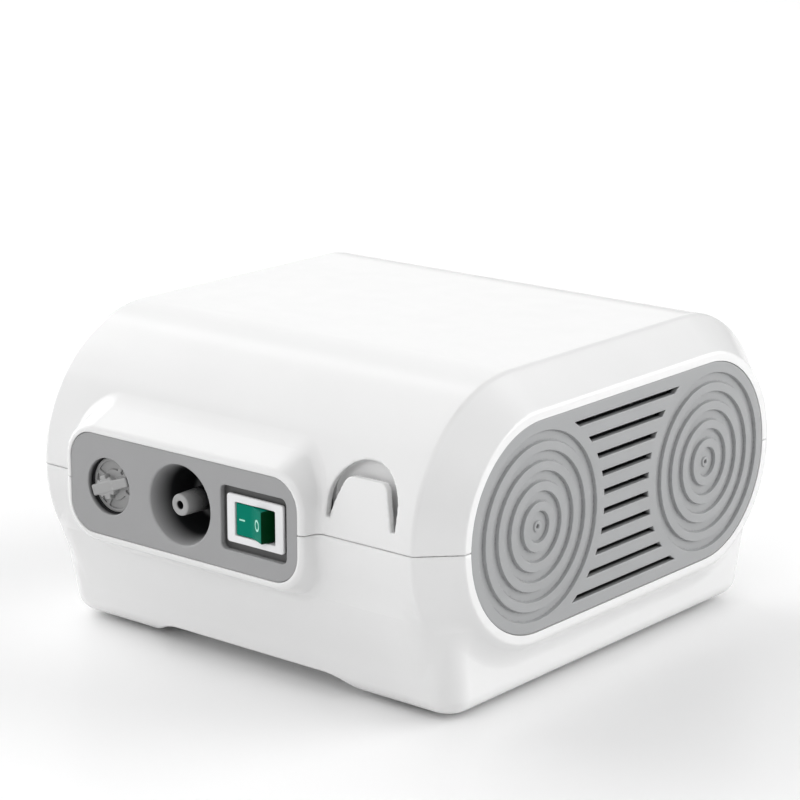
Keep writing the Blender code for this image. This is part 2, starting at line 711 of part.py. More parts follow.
def mains_inlet():
    face = INLET_FACE + GAP
    body = extruded(
        "mains_inlet",
        rounded(INLET_FLANGE[0] / 2, INLET_FLANGE[1] / 2, 2.0, 2),
        front_at(INLET_X, face, INLET_Z),
        INLET_FLANGE[2],
        "dark_plastic",
    )
    outer = face + INLET_FLANGE[2]
    low = (INLET_X - INLET_BODY[0] / 2, outer - INLET_BODY[2], INLET_Z - INLET_BODY[1] / 2)
    high = (INLET_X + INLET_BODY[0] / 2, outer - 0.8, INLET_Z + INLET_BODY[1] / 2)
    join(body, box("add_inlet_body", low, high))
    socket = extruded(
        "cut_inlet_socket",
        rounded(INLET_SOCKET[0] / 2, INLET_SOCKET[1] / 2, INLET_SOCKET[1] / 2 - 0.1, 4),
        front_at(INLET_X, outer - INLET_SOCKET[2], INLET_Z),
        INLET_SOCKET[2] + 2.0,
    )
    cut(body, socket)
    for number, x in enumerate((-PIN_PITCH / 2, PIN_PITCH / 2), 1):
        start = outer - INLET_BODY[2] - 5.0
        base = (INLET_X + x, start, INLET_Z)
        cut(body, cone(f"cut_pin_{number}", base, "Y", 12.0, PIN_RADIUS + GAP, sides=10))
        cone(f"inlet_pin_{number}", base, "Y", 20.0, PIN_RADIUS, sides=10, material="brass")


# ---------------------------------------------------------------- compressor


def motor():
    place = side_at(-CORE_HALF_X, AXIS_Y, AXIS_Z)
    width = 2 * CORE_HALF_X
    across = ((CORE_FRONT, -1), (CORE_BACK, -1), (CORE_BACK, 1), (CORE_FRONT, 1))
    outline = [(y, side * CORE_HALF_Z) for y, side in across]
    core = extruded("stator_core", outline, place, width, "lamination")
    tunnel = cone("cut_rotor_tunnel", (-20, AXIS_Y, AXIS_Z), "X", 40, ROTOR_RADIUS + 0.5, sides=32)
    window_low = (-20, AXIS_Y + WINDOW_FRONT, AXIS_Z - WINDOW_HALF_Z)
    window_high = (20, AXIS_Y + WINDOW_BACK, AXIS_Z + WINDOW_HALF_Z)
    cut(core, tunnel, box("cut_coil_window", window_low, window_high))
    spool(core)
    for number, (y, z) in enumerate(BOLTS, 1):
        base = (-21.0, AXIS_Y + y, AXIS_Z + z)
        cut(core, cone(f"cut_bolt_{number}", base, "X", 50, 2.2, sides=10))
        bolt = [(0, 42.5), (1.9, 42.5), (1.9, 2.4), (3.4, 2.4), (3.4, 0), (0, 0)]
        turned(f"motor_bolt_{number}", bolt, base, "X", "steel", 12)


def spool(core):
    """Bobbin and winding round the core's yoke, which runs up and down behind the window."""
    yoke_middle = AXIS_Y + (WINDOW_BACK + CORE_BACK) / 2
    yoke_half = (CORE_BACK - WINDOW_BACK) / 2
    length = WINDOW_HALF_Z - 0.5
    side_cut = box(
        "cut_yoke_sides",
        (-30, AXIS_Y + WINDOW_BACK - 1, AXIS_Z - WINDOW_HALF_Z),
        (-CORE_HALF_X - 1, AXIS_Y + CORE_BACK + 1, AXIS_Z + WINDOW_HALF_Z),
    )
    cut(core, side_cut)

    def sleeve(half_x, half_y, half_z, tag, material=None):
        low = (-half_x, yoke_middle - half_y, AXIS_Z - half_z)
        high = (half_x, yoke_middle + half_y, AXIS_Z + half_z)
        return box(tag, low, high, material)

    bobbin = sleeve(CORE_HALF_X + 1.3, yoke_half + 1.3, length, "coil_bobbin", "white_plastic")
    for side in (-1, 1):
        middle = AXIS_Z + side * (length - 0.7)
        low = (-19.0, yoke_middle - yoke_half - 8.0, middle - 0.7)
        high = (19.0, yoke_middle + yoke_half + 8.0, middle + 0.7)
        join(bobbin, box(f"add_bobbin_flange_{side}", low, high))
    cut(bobbin, sleeve(CORE_HALF_X + GAP, yoke_half + GAP, 40.0, "cut_yoke_room"))
    winding = sleeve(18.5, yoke_half + 7.5, length - 1.7, "motor_coil", "copper")
    winding_bevel = winding.modifiers.new("round", "BEVEL")
    winding_bevel.width = 3.0 * MM
    winding_bevel.segments = 2
    winding_bevel.limit_method = "ANGLE"
    cut(winding, sleeve(CORE_HALF_X + 1.6, yoke_half + 1.6, 40.0, "cut_bobbin_room"))


def rotating_parts():
    """Rotor, shaft, fan and crank, which turn together about the motor's axis."""
    axis_point = (0, AXIS_Y, AXIS_Z)
    shaft_end = (-46, AXIS_Y, AXIS_Z)
    cone("motor_shaft", shaft_end, "X", 73.0, SHAFT_RADIUS, sides=16, material="steel", origin=axis_point)
    hole = SHAFT_RADIUS + GAP
    upper = [(hole, 12.5), (11.0, 12.5), (ROTOR_RADIUS, 10.5)]
    ring = upper + [(radius, -height) for radius, height in reversed(upper)]
    turned("rotor", ring, axis_point, "X", "lamination", 28, axis_point)
    cooling_fan(axis_point, hole)
    disc_face = (22.6, AXIS_Y, AXIS_Z)
    crank = cone("crank_disc", disc_face, "X", 4.6, 9.0, sides=24, material="steel", origin=axis_point)
    pin_base = (25.0, AXIS_Y, AXIS_Z + CRANK_THROW)
    join(crank, cone("add_crank_pin", pin_base, "X", 12.5, 3.0, sides=16))
    weight = extruded(
        "add_counterweight",
        arc((0, 0), 13.0, 200, 340, 8) + [(5.0, -3.0), (-5.0, -3.0)],
        side_at(22.6, AXIS_Y, AXIS_Z),
        4.6,
    )
    join(crank, weight)
    cut(crank, cone("cut_crank_bore", (20.0, AXIS_Y, AXIS_Z), "X", 6.0 + 1.4, hole, sides=16))


def cooling_fan(axis_point, hole):
    middle = -36.0
    length = 10.0
    end = length / 2
    fan = turned(
        "cooling_fan",
        [(hole, end), (7.0, end), (8.0, end - 1.5), (8.0, -end), (hole, -end)],
        (middle, AXIS_Y, AXIS_Z),
        "X",
        "dark_plastic",
        20,
        axis_point,
    )
    for blade in range(7):
        sections = []
        for radius, pitch, chord in ((7.0, 38.0, 9.0), (16.0, 30.0, 12.0), (26.0, 24.0, 15.0)):
            half_thickness = 0.7
            corners = []
            for along, across in ((-1, -1), (1, -1), (1, 1), (-1, 1)):
                u = along * chord / 2
                w = across * half_thickness
                a = radians(pitch)
                tangential = u * cos(a) - w * sin(a)
                axial = u * sin(a) + w * cos(a)
                turn = radians(blade * 360 / 7)
                y = AXIS_Y + radius * cos(turn) - tangential * sin(turn)
                z = AXIS_Z + radius * sin(turn) + tangential * cos(turn)
                corners.append((middle + axial, y, z))
            sections.append(corners)
        join(fan, loft(f"add_blade_{blade}", sections))


def brackets():
    """The casting that carries the motor and the cylinder, and the bracket behind the rotor."""
    low = (-24.0, AXIS_Y - 26.0, FOOT_PLATE_Z)
    high = (48.0, AXIS_Y + 30.0, FOOT_PLATE_Z + 2.5)
    casting = box("crankcase_bracket", low, high, "aluminium")
    wall_low = (15.0, AXIS_Y - 20.0, FOOT_PLATE_Z + 1.0)
    wall_high = (18.5, AXIS_Y + 20.0, AXIS_Z + PLATFORM_Z + 3.0)
    wall = box("add_wall", wall_low, wall_high)
    hub = cone("add_bearing_hub", (13.2, AXIS_Y, AXIS_Z), "X", 8.6, 8.0, sides=24)
    platform_low = (16.0, AXIS_Y - 22.0, AXIS_Z + PLATFORM_Z)
    platform_high = (CRANK_X + 15.5, AXIS_Y + 22.0, AXIS_Z + PLATFORM_Z + 3.0)
    platform = box("add_platform", platform_low, platform_high)
    join(casting, wall, hub, platform)
    for side in (-1, 1):
        gusset = extruded(
            f"add_gusset_{side}",
            [(18.0, AXIS_Z + PLATFORM_Z + 1.0), (18.0, AXIS_Z + 2.0), (40.0, AXIS_Z + PLATFORM_Z + 1.0)],
            front_at(0, AXIS_Y + side * 19.5 - 1.5, 0),
            3.0,
        )
        join(casting, gusset)
    cut(
        casting,
        cone("cut_bearing_seat", (10.0, AXIS_Y, AXIS_Z), "X", 14.0, 5.3, sides=20),
        cone("cut_cylinder_seat", (CRANK_X, AXIS_Y, AXIS_Z), "Z", 40.0, 13.3, sides=32),
    )
    for number, (y, z) in enumerate(BOLTS, 1):
        cut(casting, cone(f"cut_wall_bolt_{number}", (10, AXIS_Y + y, AXIS_Z + z), "X", 12, 2.2, sides=10))
    for number, (x, y) in enumerate(HEAD_SCREWS, 1):
        cut(casting, cone(f"cut_platform_screw_{number}", (x, y, AXIS_Z), "Z", 40, 1.9, sides=10))
    for number, (x, y) in enumerate(MOUNTS, 1):
        cut(casting, cone(f"cut_mount_{number}", (x, y, 10), "Z", 12, 2.6, sides=12))
    bearing = [(5.0, 8.2), (5.0, 0), (SHAFT_RADIUS + GAP, 0), (SHAFT_RADIUS + GAP, 8.2)]
    turned("front_bearing", bearing, (13.4, AXIS_Y, AXIS_Z), "X", "brass", 20)
    turned("rear_bearing", bearing, (-21.4, AXIS_Y, AXIS_Z), "X", "brass", 20)
    rear_low = (-17.0, AXIS_Y - 20.0, AXIS_Z - 24.4)
    rear_high = (-14.0, AXIS_Y + 16.0, AXIS_Z + 26.5)
    rear = box("rear_bracket", rear_low, rear_high, "aluminium")
    join(rear, cone("add_rear_hub", (-21.6, AXIS_Y, AXIS_Z), "X", 6.6, 8.0, sides=24))
    cut(rear, cone("cut_rear_seat", (-24, AXIS_Y, AXIS_Z), "X", 14.0, 5.3, sides=20))
    for number, (y, z) in enumerate(BOLTS, 1):
        cut(rear, cone(f"cut_rear_bolt_{number}", (-26, AXIS_Y + y, AXIS_Z + z), "X", 14, 2.2, sides=10))


def rubber_mounts():
    """Waisted rubber mounts with a button that holds the foot plate."""
    bottom = FLOOR_TOP + GAP
    height = FOOT_PLATE_Z - GAP - bottom
    plate = 2.5 + 2 * GAP
    profile = [
        (0, height + plate + 2.2),
        (3.0, height + plate + 2.2),
        (4.0, height + plate),
        (2.2, height + plate),
        (2.2, height),
        (6.5, height),
        (6.5, height - 2.5),
        (4.8, height / 2),
        (6.5, 2.5),
        (6.5, 0),
        (0, 0),
    ]
    for number, (x, y) in enumerate(MOUNTS, 1):
        turned(f"rubber_mount_{number}", profile, (x, y, bottom), "Z", "rubber", 12)


def cylinder_parts():
    centre = (CRANK_X, AXIS_Y, AXIS_Z)
    flange = PLATFORM_Z + 3.0 + GAP
    sleeve = [
        (13.0, CYLINDER_TOP),
        (13.0, flange + 2.0),
        (15.2, flange + 2.0),
        (15.2, flange),
        (13.0, flange),
        (13.0, CYLINDER_BOTTOM),
        (CYLINDER_BORE, CYLINDER_BOTTOM),
        (CYLINDER_BORE, CYLINDER_TOP),
    ]
    turned("cylinder", sleeve, centre, "Z", "aluminium", 28)
    plate_z = CYLINDER_TOP + GAP
    outline = rounded(15.5, 22.0, 5.0, 3, (CRANK_X, AXIS_Y))
    plate = extruded("valve_plate", outline, Matrix.Translation((0, 0, AXIS_Z + plate_z)), 1.5, "steel")
    for x in (-5.0, 5.0):
        port = (CRANK_X + x, AXIS_Y, AXIS_Z + plate_z - 2)
        cut(plate, cone(f"cut_port_{x:.0f}", port, "Z", 6.0, 1.5, sides=10))
    gasket_z = plate_z + 1.5 + GAP
    gasket = extruded("head_gasket", outline, Matrix.Translation((0, 0, AXIS_Z + gasket_z)), 0.8, "rubber")
    chambers = []
    for x in (-1, 1):
        low = (CRANK_X + x * 6.2 - 5.0, AXIS_Y - 10.0, AXIS_Z + gasket_z - 2.0)
        high = (CRANK_X + x * 6.2 + 5.0, AXIS_Y + 10.0, AXIS_Z + gasket_z + 6.0)
        chambers.append(box(f"cut_chamber_{x}", low, high))
    cut(gasket, *chambers)
    head_z = gasket_z + 0.8 + GAP
    head = extruded("cylinder_head", outline, Matrix.Translation((0, 0, AXIS_Z + head_z)), 9.0, "aluminium")
    port_z = AXIS_Z + head_z + 4.6
    cut(head, *chambers)
    for x in (-6.2, 6.2):
        spigot = (CRANK_X + x, AXIS_Y - 35.0, port_z)
        join(head, cone(f"add_spigot_{x:.0f}", spigot, "Y", 14.0, BARB_RADIUS - 0.4, sides=14))
        cut(head, cone(f"cut_spigot_{x:.0f}", (spigot[0], spigot[1] - 2, port_z), "Y", 30.0, 1.4, sides=10))
    for number, (x, y) in enumerate(HEAD_SCREWS, 1):
        for item in (plate, gasket, head):
            cut(item, cone(f"cut_{item.name}_{number}", (x, y, AXIS_Z + 20), "Z", 40, 1.9, sides=10))
        shank = [(0, 29.4), (3.0, 29.4), (3.0, 27.2), (1.6, 27.2), (1.6, 0), (0, 0)]
        base = (x, y, AXIS_Z + head_z + 9.0 + GAP - 27.2)
        turned(f"head_screw_{number}", shank, base, "Z", "steel", 10)
    return port_z


def piston_parts():
    """Connecting rod whose top disc carries the cup seal, on a bearing on the crank pin."""
    pin = (CRANK_X, AXIS_Y, AXIS_Z + CRANK_THROW)
    half_width = 3.0
    rod = cone("connecting_rod", (CRANK_X - half_width, AXIS_Y, pin[2]), "X", 6.0, 11.5, sides=28,
               material="aluminium", origin=pin)
    low = (CRANK_X - 2.5, AXIS_Y - 3.5, pin[2] + 9.5)
    high = (CRANK_X + 2.5, AXIS_Y + 3.5, pin[2] + 25.0)
    disc_z = pin[2] + 24.5
    disc = cone("add_disc", (CRANK_X, AXIS_Y, disc_z), "Z", 2.0, 8.6, sides=24)
    join(rod, box("add_stem", low, high), disc)
    cut(rod, cone("cut_big_end", (CRANK_X - 8, AXIS_Y, pin[2]), "X", 16.0, 8.3, sides=28))
    race = [(8.0, 6.0), (8.0, 0), (3.3, 0), (3.3, 6.0)]
    turned("crank_bearing", race, (CRANK_X - half_width, AXIS_Y, pin[2]), "X", "steel", 24, pin)
    cup_z = disc_z + 2.0 + GAP
    cup = [(0, 0.9), (7.4, 0.9), (8.2, 1.5), (8.8, 1.5), (8.8, 0.9), (8.0, 0), (0, 0)]
    turned("piston_cup", cup, (CRANK_X, AXIS_Y, cup_z), "Z", "rubber", 24, pin)
    retainer_z = cup_z + 0.9 + GAP
    retainer = [(0, 1.8), (2.2, 1.8), (2.2, 0.9), (6.8, 0.9), (6.8, 0), (0, 0)]
    turned("piston_retainer", retainer, (CRANK_X, AXIS_Y, retainer_z), "Z", "steel", 20, pin)


# ---------------------------------------------------------------- hoses and leads


def smooth_route(points, spacing):
    """Points about spacing apart on a Catmull-Rom curve through the given points."""
    knots = [Vector(p) for p in points]
    knots = [2 * knots[0] - knots[1]] + knots + [2 * knots[-1] - knots[-2]]
    route = []
    for a, b, c, d in zip(knots, knots[1:], knots[2:], knots[3:]):
        steps = max(1, round((c - b).length / spacing))
        for step in range(steps):
            t = step / steps
            bend = 2 * a - 5 * b + 4 * c - d
            twist = 3 * b - a - 3 * c + d
            route.append(0.5 * (2 * b + (c - a) * t + bend * t**2 + twist * t**3))
    return route + [knots[-2]]


def tube(name, points, radius, spacing, material):
    """A solid tube along a smooth route, as a mesh with welded caps."""
    curve = bpy.data.curves.new(name + "_route", "CURVE")
    curve.dimensions = "3D"
    curve.bevel_depth = radius * MM
    curve.bevel_resolution = 2
    curve.use_fill_caps = True
    route = smooth_route(points, spacing)
    spline = curve.splines.new("POLY")
    spline.points.add(len(route) - 1)
    for place, point in zip(spline.points, route):
        place.co = (*(point * MM), 1.0)
    item = bpy.data.objects.new(name + "_route", curve)
    CUTTERS.objects.link(item)
    bpy.context.view_layer.update()
    solid = bpy.data.meshes.new_from_object(item.evaluated_get(bpy.context.evaluated_depsgraph_get()))
    bpy.data.objects.remove(item)
    solid.transform(Matrix.Scale(1 / MM, 4))
    solid.materials.clear()

    def build(bm):
        bm.from_mesh(solid)
        bmesh.ops.remove_doubles(bm, verts=bm.verts, dist=0.01)

    return add(name, mesh_of(name, build), material)


def hoses(port_z):
    """Each hose slips over a spigot at both ends."""
    head_y = AXIS_Y - 35.0
    socket = BARB_RADIUS + GAP
    left, right = CRANK_X - 6.2, CRANK_X + 6.2
    nozzle_y = PANEL_Y + OUTLET_DEPTH + 3.2
    filter_y = PANEL_Y + 15.2
    runs = {
        "delivery_hose": (
            (OUTLET_X, nozzle_y, PARTING_Z),
            (OUTLET_X, nozzle_y + 13.0, PARTING_Z),
            (2.0, -48.0, PARTING_Z + 3.0),
            (28.0, -47.0, PARTING_Z + 12.0),
            (right + 4.0, -42.0, port_z - 8.0),
            (right, head_y - 3.0, port_z),
            (right, head_y + 12.0, port_z),
        ),
        "intake_hose": (
            (FILTER_X, filter_y, PARTING_Z),
            (FILTER_X, filter_y + 13.0, PARTING_Z),
            (FILTER_X + 10.0, -47.0, PARTING_Z + 10.0),
            (-6.0, -40.0, port_z - 5.0),
            (left - 10.0, -38.0, port_z),
            (left, head_y - 3.0, port_z),
            (left, head_y + 12.0, port_z),
        ),
    }
    for name, points in runs.items():
        hose = tube(name, points, HOSE_RADIUS, 7.0, "clear_tube")
        start, end = points[0], points[-1]
        cut(hose, cone(f"cut_{name}_start", (start[0], start[1] - 1, start[2]), "Y", 14.0, socket, sides=14))
        cut(hose, cone(f"cut_{name}_end", (end[0], head_y - GAP, end[2]), "Y", 20.0, socket, sides=14))


def leads():
    """Mains leads from the inlet pins to the switch and from the switch to the coil."""
    pin_y = INLET_FACE + INLET_FLANGE[2] - INLET_BODY[2] - 5.0
    blade_y = PANEL_Y + SWITCH_RECESS[2] - BEZEL_SIZE[2] - GAP + SWITCH_BODY[2] + GAP + 7.0 + GAP
    coil_y = AXIS_Y + CORE_BACK + 8.0
    for number, (pin_side, blade_x, blade_z) in enumerate(((-1, -5.0, -3.4), (1, 5.0, -3.4)), 1):
        pin_x = INLET_X + pin_side * PIN_PITCH / 2
        lane = -52.0 + 5.0 * number
        points = (
            (pin_x, pin_y - GAP, INLET_Z),
            (pin_x, pin_y - 6.0, INLET_Z),
            (lane - 6.0, 36.0, 14.0),
            (lane, 0.0, 9.0),
            (lane + 8.0, -34.0, 9.0),
            (-8.0, -58.0 + 4.0 * number, 16.0 + 3.0 * number),
            (SWITCH_X + blade_x, blade_y + 9.0, PARTING_Z + blade_z - 5.0),
            (SWITCH_X + blade_x, blade_y + 4.0, PARTING_Z + blade_z),
            (SWITCH_X + blade_x, blade_y, PARTING_Z + blade_z),
        )
        tube(f"inlet_lead_{number}", points, LEAD_RADIUS, 12.0, "dark_plastic")
    for number, (blade_x, coil_x) in enumerate(((-5.0, -8.0), (5.0, 8.0)), 1):
        lane_x, lane_z = 54.0 + 3.0 * number, 42.0 - 6.0 * number
        coil_z = AXIS_Z + 18.0 - 12.0 * number
        points = (
            (SWITCH_X + blade_x, blade_y, PARTING_Z + 3.4),
            (SWITCH_X + blade_x, blade_y + 4.0, PARTING_Z + 3.4),
            (SWITCH_X + blade_x + 6.0, blade_y + 10.0, PARTING_Z - 2.0),
            (lane_x, -36.0, lane_z),
            (lane_x, 20.0, lane_z),
            (44.0, 62.0 + 5.0 * number, lane_z),
            (coil_x + 8.0, coil_y + 7.0, coil_z - 2.0),
            (coil_x, coil_y + 4.0, coil_z),
            (coil_x, coil_y, coil_z),
        )
        tube(f"coil_lead_{number}", points, LEAD_RADIUS, 12.0, "copper")


clear_scene()
PARTS = new_collection("tabletop_nebulizer")
CUTTERS = new_collection("cutters")
INNER = loft("cut_casing_inside", [stadium(x, radius) for x, radius in casing_profile(WALL)])

upper_casing()
lower_casing()
grille("right_grille", 1)
grille("left_grille", -1)
feet_and_screws()
control_panel()
outlet_nozzle()
filter_parts()
power_switch()
mains_inlet()
motor()
rotating_parts()
brackets()
rubber_mounts()
head_port_z = cylinder_parts()
piston_parts()
hoses(head_port_z)
leads()
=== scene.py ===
"""The looks of the tabletop compressor nebulizer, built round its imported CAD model.

Lengths are in millimetres and become metres where a mesh is made. The visible shells are
carved: each is the region where a signed distance is below zero, made into a fine mesh.
"""
import json
import math

import bmesh
import bpy
import numpy as np
from mathutils import Matrix, Vector

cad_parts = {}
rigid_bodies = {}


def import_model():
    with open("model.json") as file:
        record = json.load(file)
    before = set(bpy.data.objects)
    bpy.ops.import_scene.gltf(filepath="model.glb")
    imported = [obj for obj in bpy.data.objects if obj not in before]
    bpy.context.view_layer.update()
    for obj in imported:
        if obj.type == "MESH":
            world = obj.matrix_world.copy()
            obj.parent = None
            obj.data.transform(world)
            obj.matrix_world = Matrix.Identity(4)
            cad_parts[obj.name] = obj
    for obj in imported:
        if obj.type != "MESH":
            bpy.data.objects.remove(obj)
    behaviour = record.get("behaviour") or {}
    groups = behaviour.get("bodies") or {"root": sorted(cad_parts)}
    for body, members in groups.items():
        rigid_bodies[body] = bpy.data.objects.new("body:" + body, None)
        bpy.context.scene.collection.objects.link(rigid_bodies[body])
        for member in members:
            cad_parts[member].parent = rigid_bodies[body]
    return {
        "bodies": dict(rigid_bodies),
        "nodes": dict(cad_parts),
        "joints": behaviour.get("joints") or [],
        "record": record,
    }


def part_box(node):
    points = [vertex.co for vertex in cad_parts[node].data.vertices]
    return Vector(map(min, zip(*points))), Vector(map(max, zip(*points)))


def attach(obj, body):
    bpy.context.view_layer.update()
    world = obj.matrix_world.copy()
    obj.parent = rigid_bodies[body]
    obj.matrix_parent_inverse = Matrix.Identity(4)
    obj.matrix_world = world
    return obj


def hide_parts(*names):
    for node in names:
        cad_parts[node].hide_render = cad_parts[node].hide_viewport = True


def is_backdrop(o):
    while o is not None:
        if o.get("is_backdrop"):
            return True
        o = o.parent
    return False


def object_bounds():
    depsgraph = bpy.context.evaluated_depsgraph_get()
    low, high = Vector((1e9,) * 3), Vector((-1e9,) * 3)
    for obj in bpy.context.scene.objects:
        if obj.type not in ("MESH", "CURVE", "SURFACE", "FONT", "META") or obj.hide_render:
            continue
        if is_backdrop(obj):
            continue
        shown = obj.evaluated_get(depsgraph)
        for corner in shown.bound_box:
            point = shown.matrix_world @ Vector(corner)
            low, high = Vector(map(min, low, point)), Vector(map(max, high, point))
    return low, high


MM = 0.001

# Casing: a stadium section along X, whose ends narrow to a flat rim round each grille.
HALF_LENGTH = 85.5
SECTION_Y = 3.7
PARTING_Z = 54.7
PARTING_GAP = 0.3
ARC_OFFSET = 44.25
BODY_RADIUS = 46.0
RIM_RADIUS = 34.1
RIM_EDGE = 0.35
GRILLE_RADIUS = 32.3
NECK_START = 81.0
RIDGE_SETBACK = 12.3
RIDGE_EDGE = 0.9
BAND_SETBACK = 8.4
BAND_RADIUS = 41.1
BAND_FILLET = 6.0
WALL = 2.5

# Skirt of the lower casing, in heights below the parting plane; pairs are for X and Y.
SKIRT_TOP = -14.0
SHOULDER = -22.0
SHOULDER_HALF = (79.0, 83.2)
SHOULDER_SLOPE = (0.62, 0.40)
SKIRT_WAIST = -28.0
SKIRT_HALF = (80.6, 81.6)
SKIRT_DRAFT = (0.042, 0.18)
SKIRT_BOTTOM = -52.9
SKIRT_CORNER = 9.0
SKIRT_EDGE = 5.5
SKIRT_FILLET = 9.0
END_FILLET = 3.0
END_FILLET_X = (68.0, 78.0)
FLOOR_TOP = 4.6

# Low arch under the front.
ARCH_FRONT = SECTION_Y - 75.0
ARCH_HEIGHT = 4.3
ARCH_HALF = 35.0
ARCH_SPREAD = 1.79
ARCH_SIDE_SCALE = 0.5
ARCH_DEPTH = 14.0
ARCH_WALL = 4.0

# Boss and panel on the front.
PANEL_X = -10.4
PANEL_HALF = (46.9, 16.0)
PANEL_CORNER = 9.5
PANEL_Y = SECTION_Y - 95.8
PANEL_THICKNESS = 2.2
PANEL_GAP = 0.12
PANEL_LEDGE = 1.3
REBATE_SPARE = 0.3
RIM_WIDTH = 2.0
RIM_PROUD = 0.2
BOSS_SIDE_SLOPE = 0.30
BOSS_TOP_SLOPE = 0.45
BOSS_TAPER_SCALE = 0.93
BOSS_DEPTH = 16.0
BOSS_EDGE = 1.3
BOSS_FILLET = 1.8

# Filter cap on the panel: a disc with an off-centre hub and a grip bar.
FILTER_X = -41.0
FILTER_RADIUS = 9.0
FILTER_RECESS = 2.6
FILTER_HOLE_DEPTH = 5.0
CAP_TURN = math.radians(20)
CAP_GAP = 0.3
CAP_THICKNESS = 2.4
HUB_OFFSET = 2.2
HUB_RADIUS = 3.9
HUB_NOTCH = 0.9
HUB_TEETH = 6
BAR_HALF = (7.9, 1.8)
BAR_TAPER = 0.02
POCKET_RING = (4.9, 7.6)
POCKET_START = 2.4
POCKET_DEPTH = 0.6
RIB_HALF = 0.7

# Outlet: a tapered cup with a nozzle in it, whose tail carries the hose's barb.
OUTLET_X = -10.7
OUTLET_RADIUS = 12.6
OUTLET_FLOOR_RADIUS = 8.0
OUTLET_DEPTH = 16.0
CUP_TAPER_SCALE = 0.96
CUP_WALL = 1.6
NOZZLE_HOLE = 2.9
NOZZLE_RADIUS = 3.4
NOZZLE_BORE = 1.3
NOZZLE_LIP = 0.55
STEM_RADIUS = 2.2
BARB_RADIUS = 2.8
BARB_REACH = 10.6
TAIL_RADIUS = 1.9
TAIL_REACH = 14.6

# Switch in its recess; the rocker's points are measured from its pivot, before its tilt.
SWITCH_X = 19.2
SWITCH_RECESS = (13.05, 10.0, 2.3)
TRAY_WALL = 1.0
BEZEL_HALF = (11.2, 7.5)
BEZEL_THICKNESS = 1.3
SWITCH_BODY = (9.6, 6.4, 11.0)
SWITCH_GAP = 0.3
SWITCH_HOLE_DEPTH = 9.0
SWITCH_BACK = 1.4
SWITCH_SHADE_RADIUS = 17.0
ROCKER_HALF = (7.95, 5.2)
ROCKER_PIVOT = 4.9
ROCKER_TILT = math.radians(12.5)
ROCKER_TIP = (6.4, 6.2)
ROCKER_BACK = (6.2, 1.0)
ROCKER_KEEL = 3.0

# Holder for the nebulizer cup: a half-round scoop behind a tab.
HOLDER_X = 55.2
HOLDER_RADIUS = 13.0
HOLDER_SPRING = 10.5
HOLDER_FLOOR = 5.5
HOLDER_FRONT = 84.5
HOLDER_BACK = 76.5
HOLDER_LINING = 2.0
LINING_INSET = 0.3
SCOOP_DEPTH = 8.0
SCOOP_SLOPE = 0.30
TAB_HALF = 12.0
TAB_TOP = 18.2
TAB_ROOT = 2.5
TAB_CORNER = 2.0
TAB_LEAN = math.radians(20)
TAB_THICKNESS = 2.2

# Feet and screw posts, placed by their distances from the casing's middle.
FOOT_X, FOOT_Y = 64.0, 62.0
FOOT_RADIUS = 6.5
FOOT_HEIGHT = 3.4
FOOT_CUP_WALL = 2.0
FOOT_CUP_Z = (3.0, 7.0)
FOOT_GAP = (0.25, 0.3)
FOOT_EDGE = 0.9
POST_X, POST_Y = 62.0, 52.0
POST_BOTTOM = 3.0
UPPER_POST_RADIUS = 4.0
LOWER_POST_RADIUS = 4.6
PILOT_RADIUS = 1.6
PILOT_TOP = 68.0
SHANK_RADIUS = 1.7
HEAD_RADIUS = 3.2
HEAD_TOP = 44.0

# Mains inlet on the back, in half widths and half heights.
INLET_X = -45.0
INLET_Z = 38.0
INLET_FACE = SECTION_Y + 80.6
INLET_PAD = (17.0, 12.0)
INLET_SEAT = (15.0, 10.0)
INLET_FLANGE = (13.0, 8.2)
INLET_BODY = (10.0, 6.0)
INLET_HOLE_DEPTH = 6.0
INLET_GAP = 0.3
SOCKET_HALF = (7.8, 4.2)
SOCKET_DEPTH = 13.0
PIN_OFFSET = 4.3
PIN_RADIUS = 1.5

# Grille plate: slots between two discs of sunk rings.
GRILLE_FRONT = HALF_LENGTH - 0.2
GRILLE_DEPTH = 7.0
GRILLE_PLATE = 3.2
GRILLE_WALL = 2.5
FLANGE_WIDTH = 1.2
FLANGE_SPAN = (6.4, 5.0)
SLOT_COUNT = 10
SLOT_PITCH = 6.03
SLOT_HALF = 0.9
SLOT_MARGIN = 0.4
RING_PITCH = 6.0
RING_FIRST = 3.2
RING_LAST = 28.9
RING_HEIGHT = 1.0
RELIEF_SCALE = 0.75
EYE_RADIUS = 1.2
EYE_HEIGHT = 0.45

# Camera, fitted to the object's outline.
CAMERA_PLACE = (0.5307, -0.6425, 0.2912)
CAMERA_AZIMUTH = math.radians(39.617)
CAMERA_ELEVATION = math.radians(14.844)
CAMERA_LENS = 120.7

WORLD_STRENGTH = 0.28
LIGHT_SIZE = math.radians(50)


# ---------------------------------------------------------------- distances


def rounded_and(a, b, radius):
    """The intersection of two regions, with a rounded edge where their faces meet."""
    beyond = np.hypot(np.maximum(a + radius, 0), np.maximum(b + radius, 0))
    return np.minimum(-radius, np.maximum(a, b)) + beyond


def rounded_or(a, b, radius):
    """The union of two regions, with a fillet where their faces meet."""
    return -rounded_and(-a, -b, radius)


def minus(a, b, radius=0.0):
    return rounded_and(a, -b, radius) if radius else np.maximum(a, -b)


def plate(u, v, half_u, half_v, corner):
    """A rounded rectangle in two coordinates measured from its middle."""
    du, dv = abs(u) - (half_u - corner), abs(v) - (half_v - corner)
    return np.hypot(np.maximum(du, 0), np.maximum(dv, 0)) + np.minimum(np.maximum(du, dv), 0) - corner


def between(value, low, high):
    return np.maximum(low - value, value - high)


def brick(x, y, z, low, high):
    sides = between(x, low[0], high[0]), between(y, low[1], high[1])
    return np.maximum(np.maximum(*sides), between(z, low[2], high[2]))


